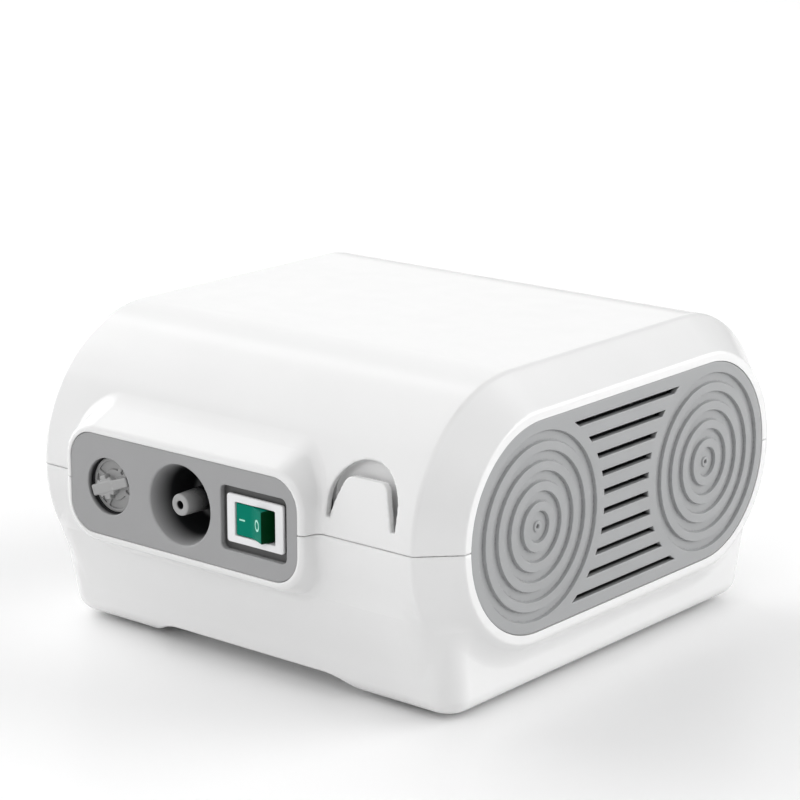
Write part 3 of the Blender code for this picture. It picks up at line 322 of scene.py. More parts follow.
def blend(value, low, high):
    """Zero below low, one above high and smooth between them."""
    t = np.clip((value - low) / (high - low), 0, 1)
    return t * t * (3 - 2 * t)


# ---------------------------------------------------------------- meshes from distances


def slope(field, points, step=0.01):
    """The field's unit gradient at each point."""
    found = np.empty_like(points)
    for axis in range(3):
        ahead, behind = points.copy(), points.copy()
        ahead[:, axis] += step
        behind[:, axis] -= step
        found[:, axis] = field(*ahead.T) - field(*behind.T)
    return found / np.maximum(np.linalg.norm(found, axis=1), 1e-12)[:, None]


def crossings(field, grid, values, axis):
    """Grid edges along axis that cross the surface: their lower corners, points and senses."""
    count = values.shape[axis]
    low = np.take(values, range(count - 1), axis)
    high = np.take(values, range(1, count), axis)
    corner = np.argwhere((low < 0) != (high < 0))
    start, end = low[tuple(corner.T)], high[tuple(corner.T)]
    points = np.stack([grid[i][corner[:, i]] for i in range(3)], 1)
    first, last = grid[axis][corner[:, axis]], grid[axis][corner[:, axis] + 1]
    leaving = start < 0
    for _ in range(4):
        share = np.clip(start / (start - end), 0.05, 0.95)
        middle = first + share * (last - first)
        points[:, axis] = middle
        value = field(*points.T)
        same = (value < 0) == leaving
        first, start = np.where(same, middle, first), np.where(same, value, start)
        last, end = np.where(same, last, middle), np.where(same, end, value)
    points[:, axis] = first + (last - first) * start / (start - end - 1e-15)
    return corner, points, leaving


def contour(field, grid):
    """Dual contouring: vertices, and quads that face out, of the surface where field is zero."""
    xs, ys, zs = grid
    values = field(xs[:, None, None], ys[None, :, None], zs[None, None, :])
    values = np.array(np.broadcast_to(values, (len(xs), len(ys), len(zs))))
    shape = tuple(n - 1 for n in values.shape)
    rings, hits = [], []
    for axis in range(3):
        corner, points, leaving = crossings(field, grid, values, axis)
        b, c = (axis + 1) % 3, (axis + 2) % 3
        ring = []
        for shift_b, shift_c in ((-1, -1), (0, -1), (0, 0), (-1, 0)):
            cell = corner.copy()
            cell[:, b] += shift_b
            cell[:, c] += shift_c
            ring.append(np.ravel_multi_index(cell.T, shape))
        ring = np.stack(ring, 1)
        ring[~leaving] = ring[~leaving][:, ::-1]
        rings.append(ring)
        hits.append(points)
    rings, hits = np.concatenate(rings), np.concatenate(hits)
    normals = slope(field, hits)
    cells, index = np.unique(rings, return_inverse=True)
    index = index.reshape(rings.shape)

    def gather(weight):
        return sum(np.bincount(index[:, k], weight, len(cells)) for k in range(4))

    number = gather(np.ones(len(hits)))
    middle = np.stack([gather(hits[:, i]) for i in range(3)], 1) / number[:, None]
    reach = np.einsum("ij,ij->i", normals, hits)
    matrix = np.empty((len(cells), 3, 3))
    for i in range(3):
        for j in range(3):
            matrix[:, i, j] = gather(normals[:, i] * normals[:, j]) / number
    right = np.stack([gather(normals[:, i] * reach) for i in range(3)], 1) / number[:, None]
    right -= np.einsum("nij,nj->ni", matrix, middle)
    matrix += 0.03 * np.eye(3)
    vertices = middle + np.linalg.solve(matrix, right[:, :, None])[:, :, 0]
    corner = np.stack(np.unravel_index(cells, shape), 1)
    low = np.stack([grid[i][corner[:, i]] for i in range(3)], 1)
    high = np.stack([grid[i][corner[:, i] + 1] for i in range(3)], 1)
    return np.clip(vertices, low, high), index


def split(field, vertices, quads):
    """Triangles from quads, cut along the diagonal that lies closer to the surface."""
    a, b, c, d = (vertices[quads[:, k]] for k in range(4))
    along = abs(field(*((a + c) / 2).T))
    across = abs(field(*((b + d) / 2).T))
    first = (along <= across)[:, None]
    one = np.where(first, quads[:, [0, 1, 2]], quads[:, [0, 1, 3]])
    two = np.where(first, quads[:, [0, 2, 3]], quads[:, [1, 2, 3]])
    return np.concatenate([one, two])


def mesh_from(name, vertices, faces, normals=None):
    """A mesh in metres from arrays of points in millimetres and triangles."""
    mesh = bpy.data.meshes.new(name)
    mesh.vertices.add(len(vertices))
    mesh.vertices.foreach_set("co", (vertices * MM).astype(np.float32).ravel())
    mesh.loops.add(faces.size)
    mesh.loops.foreach_set("vertex_index", faces.astype(np.int32).ravel())
    mesh.polygons.add(len(faces))
    mesh.polygons.foreach_set("loop_start", np.arange(0, faces.size, 3, dtype=np.int32))
    mesh.polygons.foreach_set("use_smooth", np.ones(len(faces), bool))
    mesh.update(calc_edges=True)
    if normals is not None:
        mesh.normals_split_custom_set(normals)
    return mesh


def steps(*parts):
    """Grid planes through (start, end, spacing) stretches that follow one another."""
    planes = []
    for low, high, spacing in parts:
        count = max(2, math.ceil((high - low) / spacing))
        planes.append(np.linspace(low, high, count, endpoint=False))
    return np.concatenate([*planes, [parts[-1][1]]])


def carve(name, field, grid, material, mirror_x=False):
    """An object with the shape of the region where field is below zero."""
    vertices, quads = contour(field, grid)
    faces = split(field, vertices, quads)
    corners = vertices[faces]
    middles = corners.mean(1, keepdims=True)
    inward = (0.8 * corners + 0.2 * middles).reshape(-1, 3)
    normals = slope(field, inward)
    if mirror_x:
        vertices = vertices * (-1, 1, 1)
        faces = faces[:, ::-1]
        normals = (normals * (-1, 1, 1)).reshape(-1, 3, 3)[:, ::-1].reshape(-1, 3)
    item = bpy.data.objects.new(name, mesh_from(name, vertices, faces, normals))
    bpy.context.scene.collection.objects.link(item)
    item.data.materials.append(material)
    return item


def finish_piece(item, body, nodes):
    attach(item, body)
    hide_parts(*nodes)
    return item


TURN = {
    "Y": Matrix.Rotation(math.radians(-90), 4, "X"),
    "Z": Matrix.Identity(4),
}


def turned(name, profile, base, axis, material, sides):
    """A profile of (radius, height) points turned about an axis through base, edges rounded."""
    bm = bmesh.new()
    rings = []
    for radius, height in profile:
        if radius < 1e-6:
            rings.append([bm.verts.new((0, 0, height))])
            continue
        angles = [2 * math.pi * i / sides for i in range(sides)]
        rings.append([bm.verts.new((radius * math.cos(a), radius * math.sin(a), height)) for a in angles])
    for first, second in zip(rings, rings[1:] + ([rings[0]] if profile[0][0] > 0 else [])):
        for i in range(sides):
            j = (i + 1) % sides
            quad = [ring[k % len(ring)] for ring, k in ((first, i), (first, j), (second, j), (second, i))]
            bm.faces.new(list(dict.fromkeys(quad)))
    bmesh.ops.recalc_face_normals(bm, faces=bm.faces)
    bm.transform(Matrix.Scale(MM, 4) @ Matrix.Translation(Vector(base)) @ TURN[axis])
    mesh = bpy.data.meshes.new(name)
    bm.to_mesh(mesh)
    bm.free()
    mesh.shade_smooth()
    mesh.set_sharp_from_angle(angle=math.radians(35))
    item = bpy.data.objects.new(name, mesh)
    bpy.context.scene.collection.objects.link(item)
    item.data.materials.append(material)
    return item


# ---------------------------------------------------------------- materials


def new_material(name, colour, roughness, metallic=0.0, **extra):
    """A Principled material; extra sets other sockets, spaces written as underscores."""
    material = bpy.data.materials.new(name)
    material.use_nodes = True
    shader = material.node_tree.nodes["Principled BSDF"]
    shader.inputs["Base Color"].default_value = (*colour, 1)
    shader.inputs["Roughness"].default_value = roughness
    shader.inputs["Metallic"].default_value = metallic
    for socket, value in extra.items():
        shader.inputs[socket.replace("_", " ")].default_value = value
    return material


def noise(tree, scale, detail=4.0):
    """A noise value over object coordinates in metres, about scale bumps to the metre."""
    place = tree.nodes.new("ShaderNodeTexCoord")
    texture = tree.nodes.new("ShaderNodeTexNoise")
    texture.inputs["Scale"].default_value = scale
    texture.inputs["Detail"].default_value = detail
    tree.links.new(place.outputs["Object"], texture.inputs["Vector"])
    return texture.outputs["Fac"]


def remap(tree, value, low, high, to_low, to_high):
    node = tree.nodes.new("ShaderNodeMapRange")
    for socket, number in zip(("From Min", "From Max", "To Min", "To Max"), (low, high, to_low, to_high)):
        node.inputs[socket].default_value = number
    tree.links.new(value, node.inputs["Value"])
    return node.outputs["Result"]


def maths(tree, operation, *values):
    """The result of a math node; each value is a number or a socket."""
    node = tree.nodes.new("ShaderNodeMath")
    node.operation = operation
    for socket, value in zip(node.inputs, values):
        if isinstance(value, float):
            socket.default_value = value
        else:
            tree.links.new(value, socket)
    return node.outputs["Value"]


def mix_colours(tree, factor, first, second):
    """first where factor is 0 and second where it is 1; each is a colour or a socket."""
    node = tree.nodes.new("ShaderNodeMix")
    node.data_type = "RGBA"
    tree.links.new(factor, node.inputs["Factor"])
    for socket, colour in ((node.inputs[6], first), (node.inputs[7], second)):
        if isinstance(colour, tuple):
            socket.default_value = (*colour, 1)
        else:
            tree.links.new(colour, socket)
    return node.outputs[2]


def object_axes(tree):
    """Sockets X, Y and Z of the object coordinates, in metres."""
    place = tree.nodes.new("ShaderNodeTexCoord")
    parts = tree.nodes.new("ShaderNodeSeparateXYZ")
    tree.links.new(place.outputs["Object"], parts.inputs["Vector"])
    return parts.outputs


def base_colour(material):
    """A material's tree, its base colour input and the socket that feeds it."""
    target = material.node_tree.nodes["Principled BSDF"].inputs["Base Color"]
    return material.node_tree, target, target.links[0].from_socket


def surface(
    name, colour, roughness, grain, depth, metallic=0.0,
    drift=0.04, wear=0.06, spread=0.08, crevice_shade=0.2, **extra,
):
    """A moulded or machined surface: fine grain, uneven gloss, worn edges and painted shade in its
    crevices.
    """
    material = new_material(name, colour, roughness, metallic, **extra)
    tree = material.node_tree
    shader = tree.nodes["Principled BSDF"]
    slow = noise(tree, 35.0, 3.0)
    darker = tuple(c * (1 - drift) for c in colour)
    drifted = mix_colours(tree, remap(tree, slow, 0.35, 0.65, 0, 1), darker, colour)
    geometry = tree.nodes.new("ShaderNodeNewGeometry")
    edge = remap(tree, geometry.outputs["Pointiness"], 0.53, 0.62, 0, wear)
    lighter = tuple(min(1.0, c + 0.25 * (1 - c) + 0.05) for c in colour)
    worn = mix_colours(tree, edge, drifted, lighter)
    # Painted shade: concave places fade towards a much darker copy of the colour, as if shadowed.
    crevice_shade_mask = remap(tree, geometry.outputs["Pointiness"], 0.48, 0.42, 0, crevice_shade)
    crevice_shaded = mix_colours(tree, crevice_shade_mask, worn, tuple(c * 0.15 for c in colour))
    tree.links.new(crevice_shaded, shader.inputs["Base Color"])
    patches = noise(tree, 90.0, 5.0)
    gloss = remap(tree, patches, 0.3, 0.7, roughness - spread / 2, roughness + spread / 2)
    tree.links.new(gloss, shader.inputs["Roughness"])
    bump = tree.nodes.new("ShaderNodeBump")
    bump.inputs["Strength"].default_value = 0.45
    bump.inputs["Distance"].default_value = depth * MM
    tree.links.new(noise(tree, grain, 3.0), bump.inputs["Height"])
    tree.links.new(bump.outputs["Normal"], shader.inputs["Normal"])
    return material


def cup_shade(material, dark, start, end, middle_x, radius):
    """Paints shade into a material in a round hole of the panel, darker as its depth grows from start to
    end.
    """
    tree, target, colour = base_colour(material)
    axes = object_axes(tree)
    depth = remap(tree, axes["Y"], (PANEL_Y + start) * MM, (PANEL_Y + end) * MM, 0, 1)
    flat = tree.nodes.new("ShaderNodeCombineXYZ")
    tree.links.new(axes["X"], flat.inputs["X"])
    tree.links.new(axes["Z"], flat.inputs["Z"])
    apart = tree.nodes.new("ShaderNodeVectorMath")
    apart.operation = "DISTANCE"
    tree.links.new(flat.outputs["Vector"], apart.inputs[0])
    apart.inputs[1].default_value = (middle_x * MM, 0, PARTING_Z * MM)
    near = remap(tree, apart.outputs["Value"], (radius + 0.4) * MM, radius * MM, 0, 1)
    tree.links.new(mix_colours(tree, maths(tree, "MULTIPLY", depth, near), colour, dark), target)


def slot_shade(material, dark, start, end):
    """Paints shade into a material in the grilles' slots, darker as its depth behind their front grows from
    start to end.
    """
    tree, target, colour = base_colour(material)
    out = maths(tree, "ABSOLUTE", object_axes(tree)["X"])
    depth = remap(tree, out, (GRILLE_FRONT - start) * MM, (GRILLE_FRONT - end) * MM, 0, 1)
    tree.links.new(mix_colours(tree, depth, colour, dark), target)


def lens_material():
    """Green plastic with painted shade on its right end, and a pale dash and a ring as on and off marks."""
    material = surface(
        "green_lens", (0.0, 0.20, 0.135), 0.35, 1500, 0.01, drift=0.1, wear=0.0, Specular_IOR_Level=0.04
    )
    tree, target, colour = base_colour(material)
    axes = object_axes(tree)
    # Painted shade: the rocker's right end is darkened as if turned from the light.
    beyond = remap(tree, axes["X"], (SWITCH_X + 4.5) * MM, (SWITCH_X + 4.8) * MM, 0, 1)
    shaded = mix_colours(tree, beyond, colour, (0.0, 0.030, 0.008))

    def apart(axis, middle, half):
        """Distance from the middle along an axis, as a share of half."""
        shifted = maths(tree, "SUBTRACT", axes[axis], middle * MM)
        return maths(tree, "DIVIDE", maths(tree, "ABSOLUTE", shifted), half * MM)

    dash_x, ring_x = SWITCH_X - 5.2, SWITCH_X + 1.9
    farther = maths(tree, "MAXIMUM", apart("X", dash_x, 1.1), apart("Z", PARTING_Z, 0.25))
    dash = maths(tree, "LESS_THAN", farther, 1.0)
    across = maths(tree, "POWER", apart("X", ring_x, 1.1), 2.0)
    up = maths(tree, "POWER", apart("Z", PARTING_Z, 1.5), 2.0)
    oval = maths(tree, "POWER", maths(tree, "ADD", across, up), 0.5)
    off_line = maths(tree, "ABSOLUTE", maths(tree, "SUBTRACT", oval, 1.0))
    ring = maths(tree, "LESS_THAN", off_line, 0.22)
    mark = maths(tree, "MAXIMUM", dash, ring)
    tree.links.new(mix_colours(tree, mark, shaded, (0.45, 0.80, 0.68)), target)
    return material


def make_materials():
    made = {
        "white": surface(
            "white_abs", (0.80, 0.80, 0.80), 0.24, 2600, 0.006, drift=0.012, wear=0.10, spread=0.05,
            Coat_Weight=0.25, Coat_Roughness=0.12,
        ),
        "panel": surface("panel_grey", (0.34, 0.34, 0.345), 0.42, 3800, 0.02, drift=0.03),
        "grille": surface("grille_grey", (0.345, 0.35, 0.355), 0.40, 3800, 0.02, drift=0.03, crevice_shade=0.9),
        "cap": surface("cap_grey", (0.40, 0.40, 0.40), 0.45, 2200, 0.05, drift=0.25, wear=0.2, crevice_shade=0.7),
        "nozzle": surface("nozzle_grey", (0.36, 0.36, 0.36), 0.30, 3000, 0.01, drift=0.04),
        "bezel": surface("bezel_white", (0.82, 0.82, 0.83), 0.22, 3000, 0.006, drift=0.01, wear=0.08),
        "lens": lens_material(),
        "dark": surface("dark_plastic", (0.03, 0.03, 0.033), 0.42, 2600, 0.02, drift=0.2, wear=0.25),
        "foot": surface("foot_rubber", (0.42, 0.42, 0.42), 0.75, 1800, 0.06, drift=0.1, wear=0.1),
        "brass": surface("brass", (0.78, 0.60, 0.30), 0.30, 2500, 0.008, 1.0, wear=0.3, spread=0.16),
    }
    # Painted shade: the outlet cup, the filter's hole, the switch's recess, the nozzle's barrel and bore
    # and the grilles' slots grow dark with depth, as if in shadow.
    shadow_black = (0.008, 0.008, 0.009)
    cup_shade(made["panel"], shadow_black, 0.8, 7.5, OUTLET_X, OUTLET_RADIUS + 2.0)
    cup_shade(made["panel"], shadow_black, 0.3, 1.8, FILTER_X, FILTER_RADIUS + 0.5)
    cup_shade(made["panel"], (0.09, 0.09, 0.09), 1.3, 2.3, SWITCH_X, SWITCH_SHADE_RADIUS)
    cup_shade(made["nozzle"], shadow_black, 1.0, 9.0, OUTLET_X, OUTLET_RADIUS)
    cup_shade(made["nozzle"], shadow_black, 0.2, 0.7, OUTLET_X, NOZZLE_BORE)
    slot_shade(made["grille"], shadow_black, RING_HEIGHT + 0.1, RING_HEIGHT + 1.0)
    return made


# ---------------------------------------------------------------- casing


def stadium_radius(y, z):
    """Distance from the casing's long axis, which is a segment across the section."""
    return np.hypot(np.maximum(abs(y - SECTION_Y) - ARC_OFFSET, 0), z - PARTING_Z)


def body(x, y, z):
    """The stadium, narrowing at its ends by two slopes that meet over a soft hollow."""
    radius = stadium_radius(y, z)
    setback = HALF_LENGTH - abs(x)
    low = (BAND_RADIUS - RIM_RADIUS) / BAND_SETBACK
    high = (BODY_RADIUS - BAND_RADIUS) / (RIDGE_SETBACK - BAND_SETBACK)
    flat = (radius - RIM_RADIUS - low * setback) / math.hypot(1, low)
    steep = (radius - BAND_RADIUS - high * (setback - BAND_SETBACK)) / math.hypot(1, high)
    band = rounded_or(flat, steep, BAND_FILLET)
    barrel = rounded_and(band, radius - BODY_RADIUS, RIDGE_EDGE)
    return rounded_and(barrel, -setback, RIM_EDGE)


def skirt(x, y, z):
    """The drafted box under the stadium, with round corners and a round bottom edge."""
    height = z - PARTING_Z

    def half(axis):
        below = SKIRT_HALF[axis] + SKIRT_DRAFT[axis] * (height - SKIRT_WAIST)
        above = SHOULDER_HALF[axis] - SHOULDER_SLOPE[axis] * (height - SHOULDER)
        return np.minimum(below, above)

    sides = plate(x, y - SECTION_Y, half(0), half(1), SKIRT_CORNER)
    return np.maximum(rounded_and(sides, SKIRT_BOTTOM - height, SKIRT_EDGE), height - SKIRT_TOP)


def casing(x, y, z):
    fillet = SKIRT_FILLET - (SKIRT_FILLET - END_FILLET) * blend(abs(x), *END_FILLET_X)
    return rounded_or(body(x, y, z), skirt(x, y, z), fillet)


def boss(x, y, z):
    """The raised block on the front, tapered on its sides and more so on its top."""
    depth = y - (PANEL_Y - RIM_PROUD)
    half_x = PANEL_HALF[0] + RIM_WIDTH + BOSS_SIDE_SLOPE * depth
    half_z = PANEL_HALF[1] + RIM_WIDTH + BOSS_TOP_SLOPE * depth
    corner = PANEL_CORNER + RIM_WIDTH + BOSS_SIDE_SLOPE * depth
    sides = plate(x - PANEL_X, z - PARTING_Z, half_x, half_z, corner) * BOSS_TAPER_SCALE
    return np.maximum(rounded_and(sides, -depth, BOSS_EDGE), depth - BOSS_DEPTH)


def outside(x, y, z):
    return rounded_or(casing(x, y, z), boss(x, y, z), BOSS_FILLET)


def room(x, y, z):
    """The space inside the shell and the necks in which the grilles sit."""
    radius = stadium_radius(y, z)
    neck = np.maximum(radius - GRILLE_RADIUS - PANEL_GAP, NECK_START - abs(x))
    inner = np.maximum(casing(x, y, z) + WALL, FLOOR_TOP - z)
    return np.minimum(inner, neck)


def panel_way(x, y, z):
    """The rebate in the boss and the opening behind it."""
    across, up = x - PANEL_X, z - PARTING_Z
    half_x, half_z = PANEL_HALF
    rebate = plate(across, up, half_x + PANEL_GAP, half_z + PANEL_GAP, PANEL_CORNER)
    rebate = np.maximum(rebate, y - (PANEL_Y + PANEL_THICKNESS + REBATE_SPARE))
    way = plate(across, up, half_x - PANEL_LEDGE, half_z - PANEL_LEDGE, PANEL_CORNER - 1.6)
    way = np.maximum(way, y - (PANEL_Y + BOSS_DEPTH + 4.0))
    return np.minimum(rebate, way)


def arch(x, z, spring, radius):
    """A half-round arch on straight legs, in the front's plane."""
    across, up = x - HOLDER_X, z - PARTING_Z - spring
    return np.where(up > 0, np.hypot(across, up), abs(across)) - radius


def holder_tab(x, y, z):
    """A tab with slanted sides, which carries the casing's front surface on upwards."""
    across, up = abs(x - HOLDER_X), z - PARTING_Z
    slant = (across - TAB_HALF) * math.cos(TAB_LEAN) + (up - HOLDER_FLOOR) * math.sin(TAB_LEAN)
    outline = rounded_and(across - TAB_HALF, slant, TAB_CORNER)
    outline = rounded_and(outline, up - TAB_TOP, TAB_CORNER)
    outline = np.maximum(outline, HOLDER_FLOOR - TAB_ROOT - up)
    sheet = between(stadium_radius(y, z) - BODY_RADIUS, -TAB_THICKNESS, 0)
    return rounded_and(outline, np.maximum(sheet, y), 0.4)


def holder(shell, x, y, z):
    """Cuts the cup holder into the upper casing and stands its tab in front."""
    back = SECTION_Y - HOLDER_BACK
    lined = arch(x, z, HOLDER_SPRING, HOLDER_RADIUS + HOLDER_LINING)
    lined = np.maximum(lined, between(y, SECTION_Y - HOLDER_FRONT, back + HOLDER_LINING))
    lined = np.maximum(lined, PARTING_Z + HOLDER_FLOOR - HOLDER_LINING - z)
    lined = np.maximum(lined, casing(x, y, z) + LINING_INSET)
    shell = np.minimum(shell, lined)
    floor = HOLDER_FLOOR - (z - PARTING_Z)
    pocket = rounded_and(arch(x, z, HOLDER_SPRING, HOLDER_RADIUS), floor, 0.6)
    depth = SCOOP_DEPTH + SCOOP_SLOPE * floor
    pocket = rounded_and(pocket, BODY_RADIUS - depth - stadium_radius(y, z), 2.0)
    pocket = np.maximum(pocket, y - back)
    shell = rounded_and(shell, -pocket, 0.5)
    return np.minimum(shell, holder_tab(x, y, z))


def posts(x, y):
    """Distance from the nearest screw post's axis."""
    return np.hypot(abs(x) - POST_X, abs(y - SECTION_Y) - POST_Y)


def upper_casing(x, y, z):
    edge = PARTING_Z + PARTING_GAP / 2
    shell = minus(rounded_and(outside(x, y, z), edge - z, 0.25), room(x, y, z))
    post = np.maximum(posts(x, y) - UPPER_POST_RADIUS, edge - z)
    shell = np.minimum(shell, np.maximum(post, casing(x, y, z) + 1.0))
    shell = np.maximum(shell, -np.maximum(posts(x, y) - PILOT_RADIUS, z - PILOT_TOP))
    shell = minus(shell, panel_way(x, y, z), 0.2)
    return holder(shell, x, y, z)


def fixings(shell, x, y, z):
    """Adds the lower screw posts and the feet's cups, and cuts the screw holes and the feet's seats."""
    post = np.maximum(posts(x, y) - LOWER_POST_RADIUS, POST_BOTTOM - z)
    post = np.maximum(post, z - (PARTING_Z - PARTING_GAP / 2))
    feet = np.hypot(abs(x) - FOOT_X, abs(y - SECTION_Y) - FOOT_Y)
    cup = np.maximum(feet - FOOT_RADIUS - FOOT_CUP_WALL, between(z, *FOOT_CUP_Z))
    shell = np.minimum(shell, np.minimum(post, cup))
    shell = rounded_and(shell, -np.maximum(posts(x, y) - HEAD_RADIUS, z - HEAD_TOP), 0.3)
    shell = np.maximum(shell, -(posts(x, y) - SHANK_RADIUS))
    seat = np.maximum(feet - FOOT_RADIUS - FOOT_GAP[0], z - FOOT_HEIGHT - FOOT_GAP[1])
    return rounded_and(shell, -seat, 0.4)


def front_arch(shell, x, y, z):
    """Cuts the low arch under the front, with a hood over it that keeps the shell closed."""
    bottom = PARTING_Z + SKIRT_BOTTOM
    half = ARCH_HALF + ARCH_SPREAD * (ARCH_HEIGHT + bottom - z)
    hood = np.maximum(abs(x) - half - ARCH_WALL, between(z, bottom, bottom + ARCH_HEIGHT + WALL))
    hood = np.maximum(hood, between(y, ARCH_FRONT, ARCH_FRONT + ARCH_DEPTH + WALL))
    shell = np.minimum(shell, np.maximum(hood, casing(x, y, z) + 0.5))
    notch = rounded_and((abs(x) - half) * ARCH_SIDE_SCALE, z - bottom - ARCH_HEIGHT, 2.0)
    return rounded_and(shell, -np.maximum(notch, y - ARCH_FRONT - ARCH_DEPTH), 0.8)


def inlet_seat(shell, x, y, z):
    """Adds the pad on the back and cuts the inlet's seat and the hole for its body."""
    half_x, half_z = INLET_PAD
    low = (INLET_X - half_x, INLET_FACE - 2.5, INLET_Z - half_z)
    high = (INLET_X + half_x, INLET_FACE + 0.6, INLET_Z + half_z)
    shell = np.minimum(shell, brick(x, y, z, low, high))
    across, up = x - INLET_X, z - INLET_Z
    seat = np.maximum(plate(across, up, *INLET_SEAT, 2.0), INLET_FACE - y)
    hole = plate(across, up, INLET_BODY[0] + INLET_GAP, INLET_BODY[1] + INLET_GAP, 1.0)
    hole = np.maximum(hole, abs(y - INLET_FACE) - INLET_HOLE_DEPTH)
    return rounded_and(shell, -np.minimum(seat, hole), 0.4)


def lower_casing(x, y, z):
    edge = PARTING_Z - PARTING_GAP / 2
    shell = minus(rounded_and(outside(x, y, z), z - edge, 0.25), room(x, y, z))
    shell = fixings(shell, x, y, z)
    shell = minus(shell, panel_way(x, y, z), 0.2)
    shell = front_arch(shell, x, y, z)
    return inlet_seat(shell, x, y, z)


def build_casing(paint):
    """Both halves, on grids that are finest at the front and the back, where their details are."""
    length = (-88.0, 88.0, 0.8)
    depth = ((-94.5, -70.0, 0.6), (-70.0, -54.0, 1.0), (-54.0, 60.0, 1.4), (60.0, 96.0, 0.9))
    upper_grid = steps(length), steps(*depth), steps((53.0, 80.0, 0.7), (80.0, 102.5, 0.8))
    upper = carve("upper_shell", upper_casing, upper_grid, paint["white"])
    finish_piece(upper, "housing", ["upper_casing"])
    lower_grid = steps(length), steps(*depth), steps((-1.0, 12.0, 0.6), (12.0, 56.5, 0.9))
    lower = carve("lower_shell", lower_casing, lower_grid, paint["white"])
    finish_piece(lower, "housing", ["lower_casing"])


# ---------------------------------------------------------------- grilles


def disc_rings(distance):
    """Height of a disc's face at a distance from its middle: 0 in the sunk rings, 1 between them."""
    phase = abs((distance - RING_FIRST + RING_PITCH / 2) % RING_PITCH - RING_PITCH / 2)
    rings = blend(phase, 1.3, 1.7)
    eye = 1 - blend(abs(distance - EYE_RADIUS), 0.3, 0.7)
    inside = np.where(distance < RING_FIRST, EYE_HEIGHT * eye, rings)
    return np.where(distance < RING_LAST, inside, 1.0)


def grille(x, y, z):
    """The plate in the casing's right neck: slots in the middle, a ringed disc to each side."""
    radius = stadium_radius(y, z)
    along, up = y - SECTION_Y, z - PARTING_Z
    discs = np.hypot(abs(along) - ARC_OFFSET, up)
    face = GRILLE_FRONT - RING_HEIGHT + RING_HEIGHT * disc_rings(discs)
    solid = rounded_and(radius - GRILLE_RADIUS, (x - face) * RELIEF_SCALE, 0.25)
    solid = np.maximum(solid, GRILLE_FRONT - GRILLE_DEPTH - x)
    span = between(x, GRILLE_FRONT - FLANGE_SPAN[0], GRILLE_FRONT - FLANGE_SPAN[1])
    solid = np.minimum(solid, np.maximum(radius - GRILLE_RADIUS - FLANGE_WIDTH, span))
    hollow = np.maximum(radius - GRILLE_RADIUS + GRILLE_WALL, x - (GRILLE_FRONT - GRILLE_PLATE))
    solid = np.maximum(solid, -hollow)
    row = np.clip(np.floor(up / SLOT_PITCH), -SLOT_COUNT / 2, SLOT_COUNT / 2 - 1)
    across = abs(up - (row + 0.5) * SLOT_PITCH)
    between_discs = np.maximum(GRILLE_RADIUS + SLOT_MARGIN - discs, abs(along) - ARC_OFFSET)
    slots = np.maximum(across - SLOT_HALF, between_discs)
    slots = np.maximum(slots, GRILLE_FRONT - GRILLE_DEPTH - 1.0 - x)
    return rounded_and(solid, -slots, 0.2)


def build_grilles(paint):
    grid = (
        steps((77.5, 82.0, 0.7), (82.0, 86.5, 0.28)),
        steps((SECTION_Y - 79.0, SECTION_Y + 79.0, 0.55)),
        steps((PARTING_Z - 35.0, PARTING_Z + 35.0, 0.5)),
    )
    for side, name in ((1, "right"), (-1, "left")):
        item = carve(f"grille_{name}", grille, grid, paint["grille"], mirror_x=side < 0)
        finish_piece(item, "housing", [f"{name}_grille"])


# ---------------------------------------------------------------- front panel


def cup_cone(x, y, z, margin):
    """Distance to the outlet cup's tapered wall, moved out by margin."""
    share = (y - PANEL_Y) / OUTLET_DEPTH
    radius = OUTLET_RADIUS + margin - (OUTLET_RADIUS - OUTLET_FLOOR_RADIUS) * share
    return (np.hypot(x - OUTLET_X, z - PARTING_Z) - radius) * CUP_TAPER_SCALE


def control_panel(x, y, z):
    """The plate, with the filter's hole, the outlet's cup in a sleeve and the switch's recess in a tray."""
    depth, up = y - PANEL_Y, z - PARTING_Z
    switch = x - SWITCH_X
    recess_x, recess_z, recess_depth = SWITCH_RECESS
    face = plate(x - PANEL_X, up, *PANEL_HALF, PANEL_CORNER)
    slab = rounded_and(face, between(depth, 0, PANEL_THICKNESS), 0.35)
    sleeve = np.maximum(cup_cone(x, y, z, CUP_WALL), between(depth, 1.0, OUTLET_DEPTH + 2.0))
    tray = plate(switch, up, recess_x + TRAY_WALL, recess_z + TRAY_WALL, 2.5)
    tray = np.maximum(tray, between(depth, 1.0, recess_depth + 1.8))
    solid = np.minimum(np.minimum(slab, sleeve), tray)
    cup = rounded_and(cup_cone(x, y, z, 0), depth - OUTLET_DEPTH, 1.5)
    solid = rounded_and(solid, -cup, 0.5)
    recess = np.maximum(plate(switch, up, recess_x, recess_z, 2.0), depth - recess_depth)
    solid = rounded_and(solid, -recess, 0.35)
    body_hole = plate(switch, up, SWITCH_BODY[0] + SWITCH_GAP, SWITCH_BODY[1] + SWITCH_GAP, 0.5)
    solid = np.maximum(solid, -np.maximum(body_hole, depth - SWITCH_HOLE_DEPTH))
    nozzle_hole = np.hypot(x - OUTLET_X, up) - NOZZLE_HOLE
    solid = np.maximum(solid, -np.maximum(nozzle_hole, 10.0 - depth))
    filter_hole = np.hypot(x - FILTER_X, up) - FILTER_RADIUS
    return rounded_and(solid, -np.maximum(filter_hole, depth - FILTER_HOLE_DEPTH), 0.3)


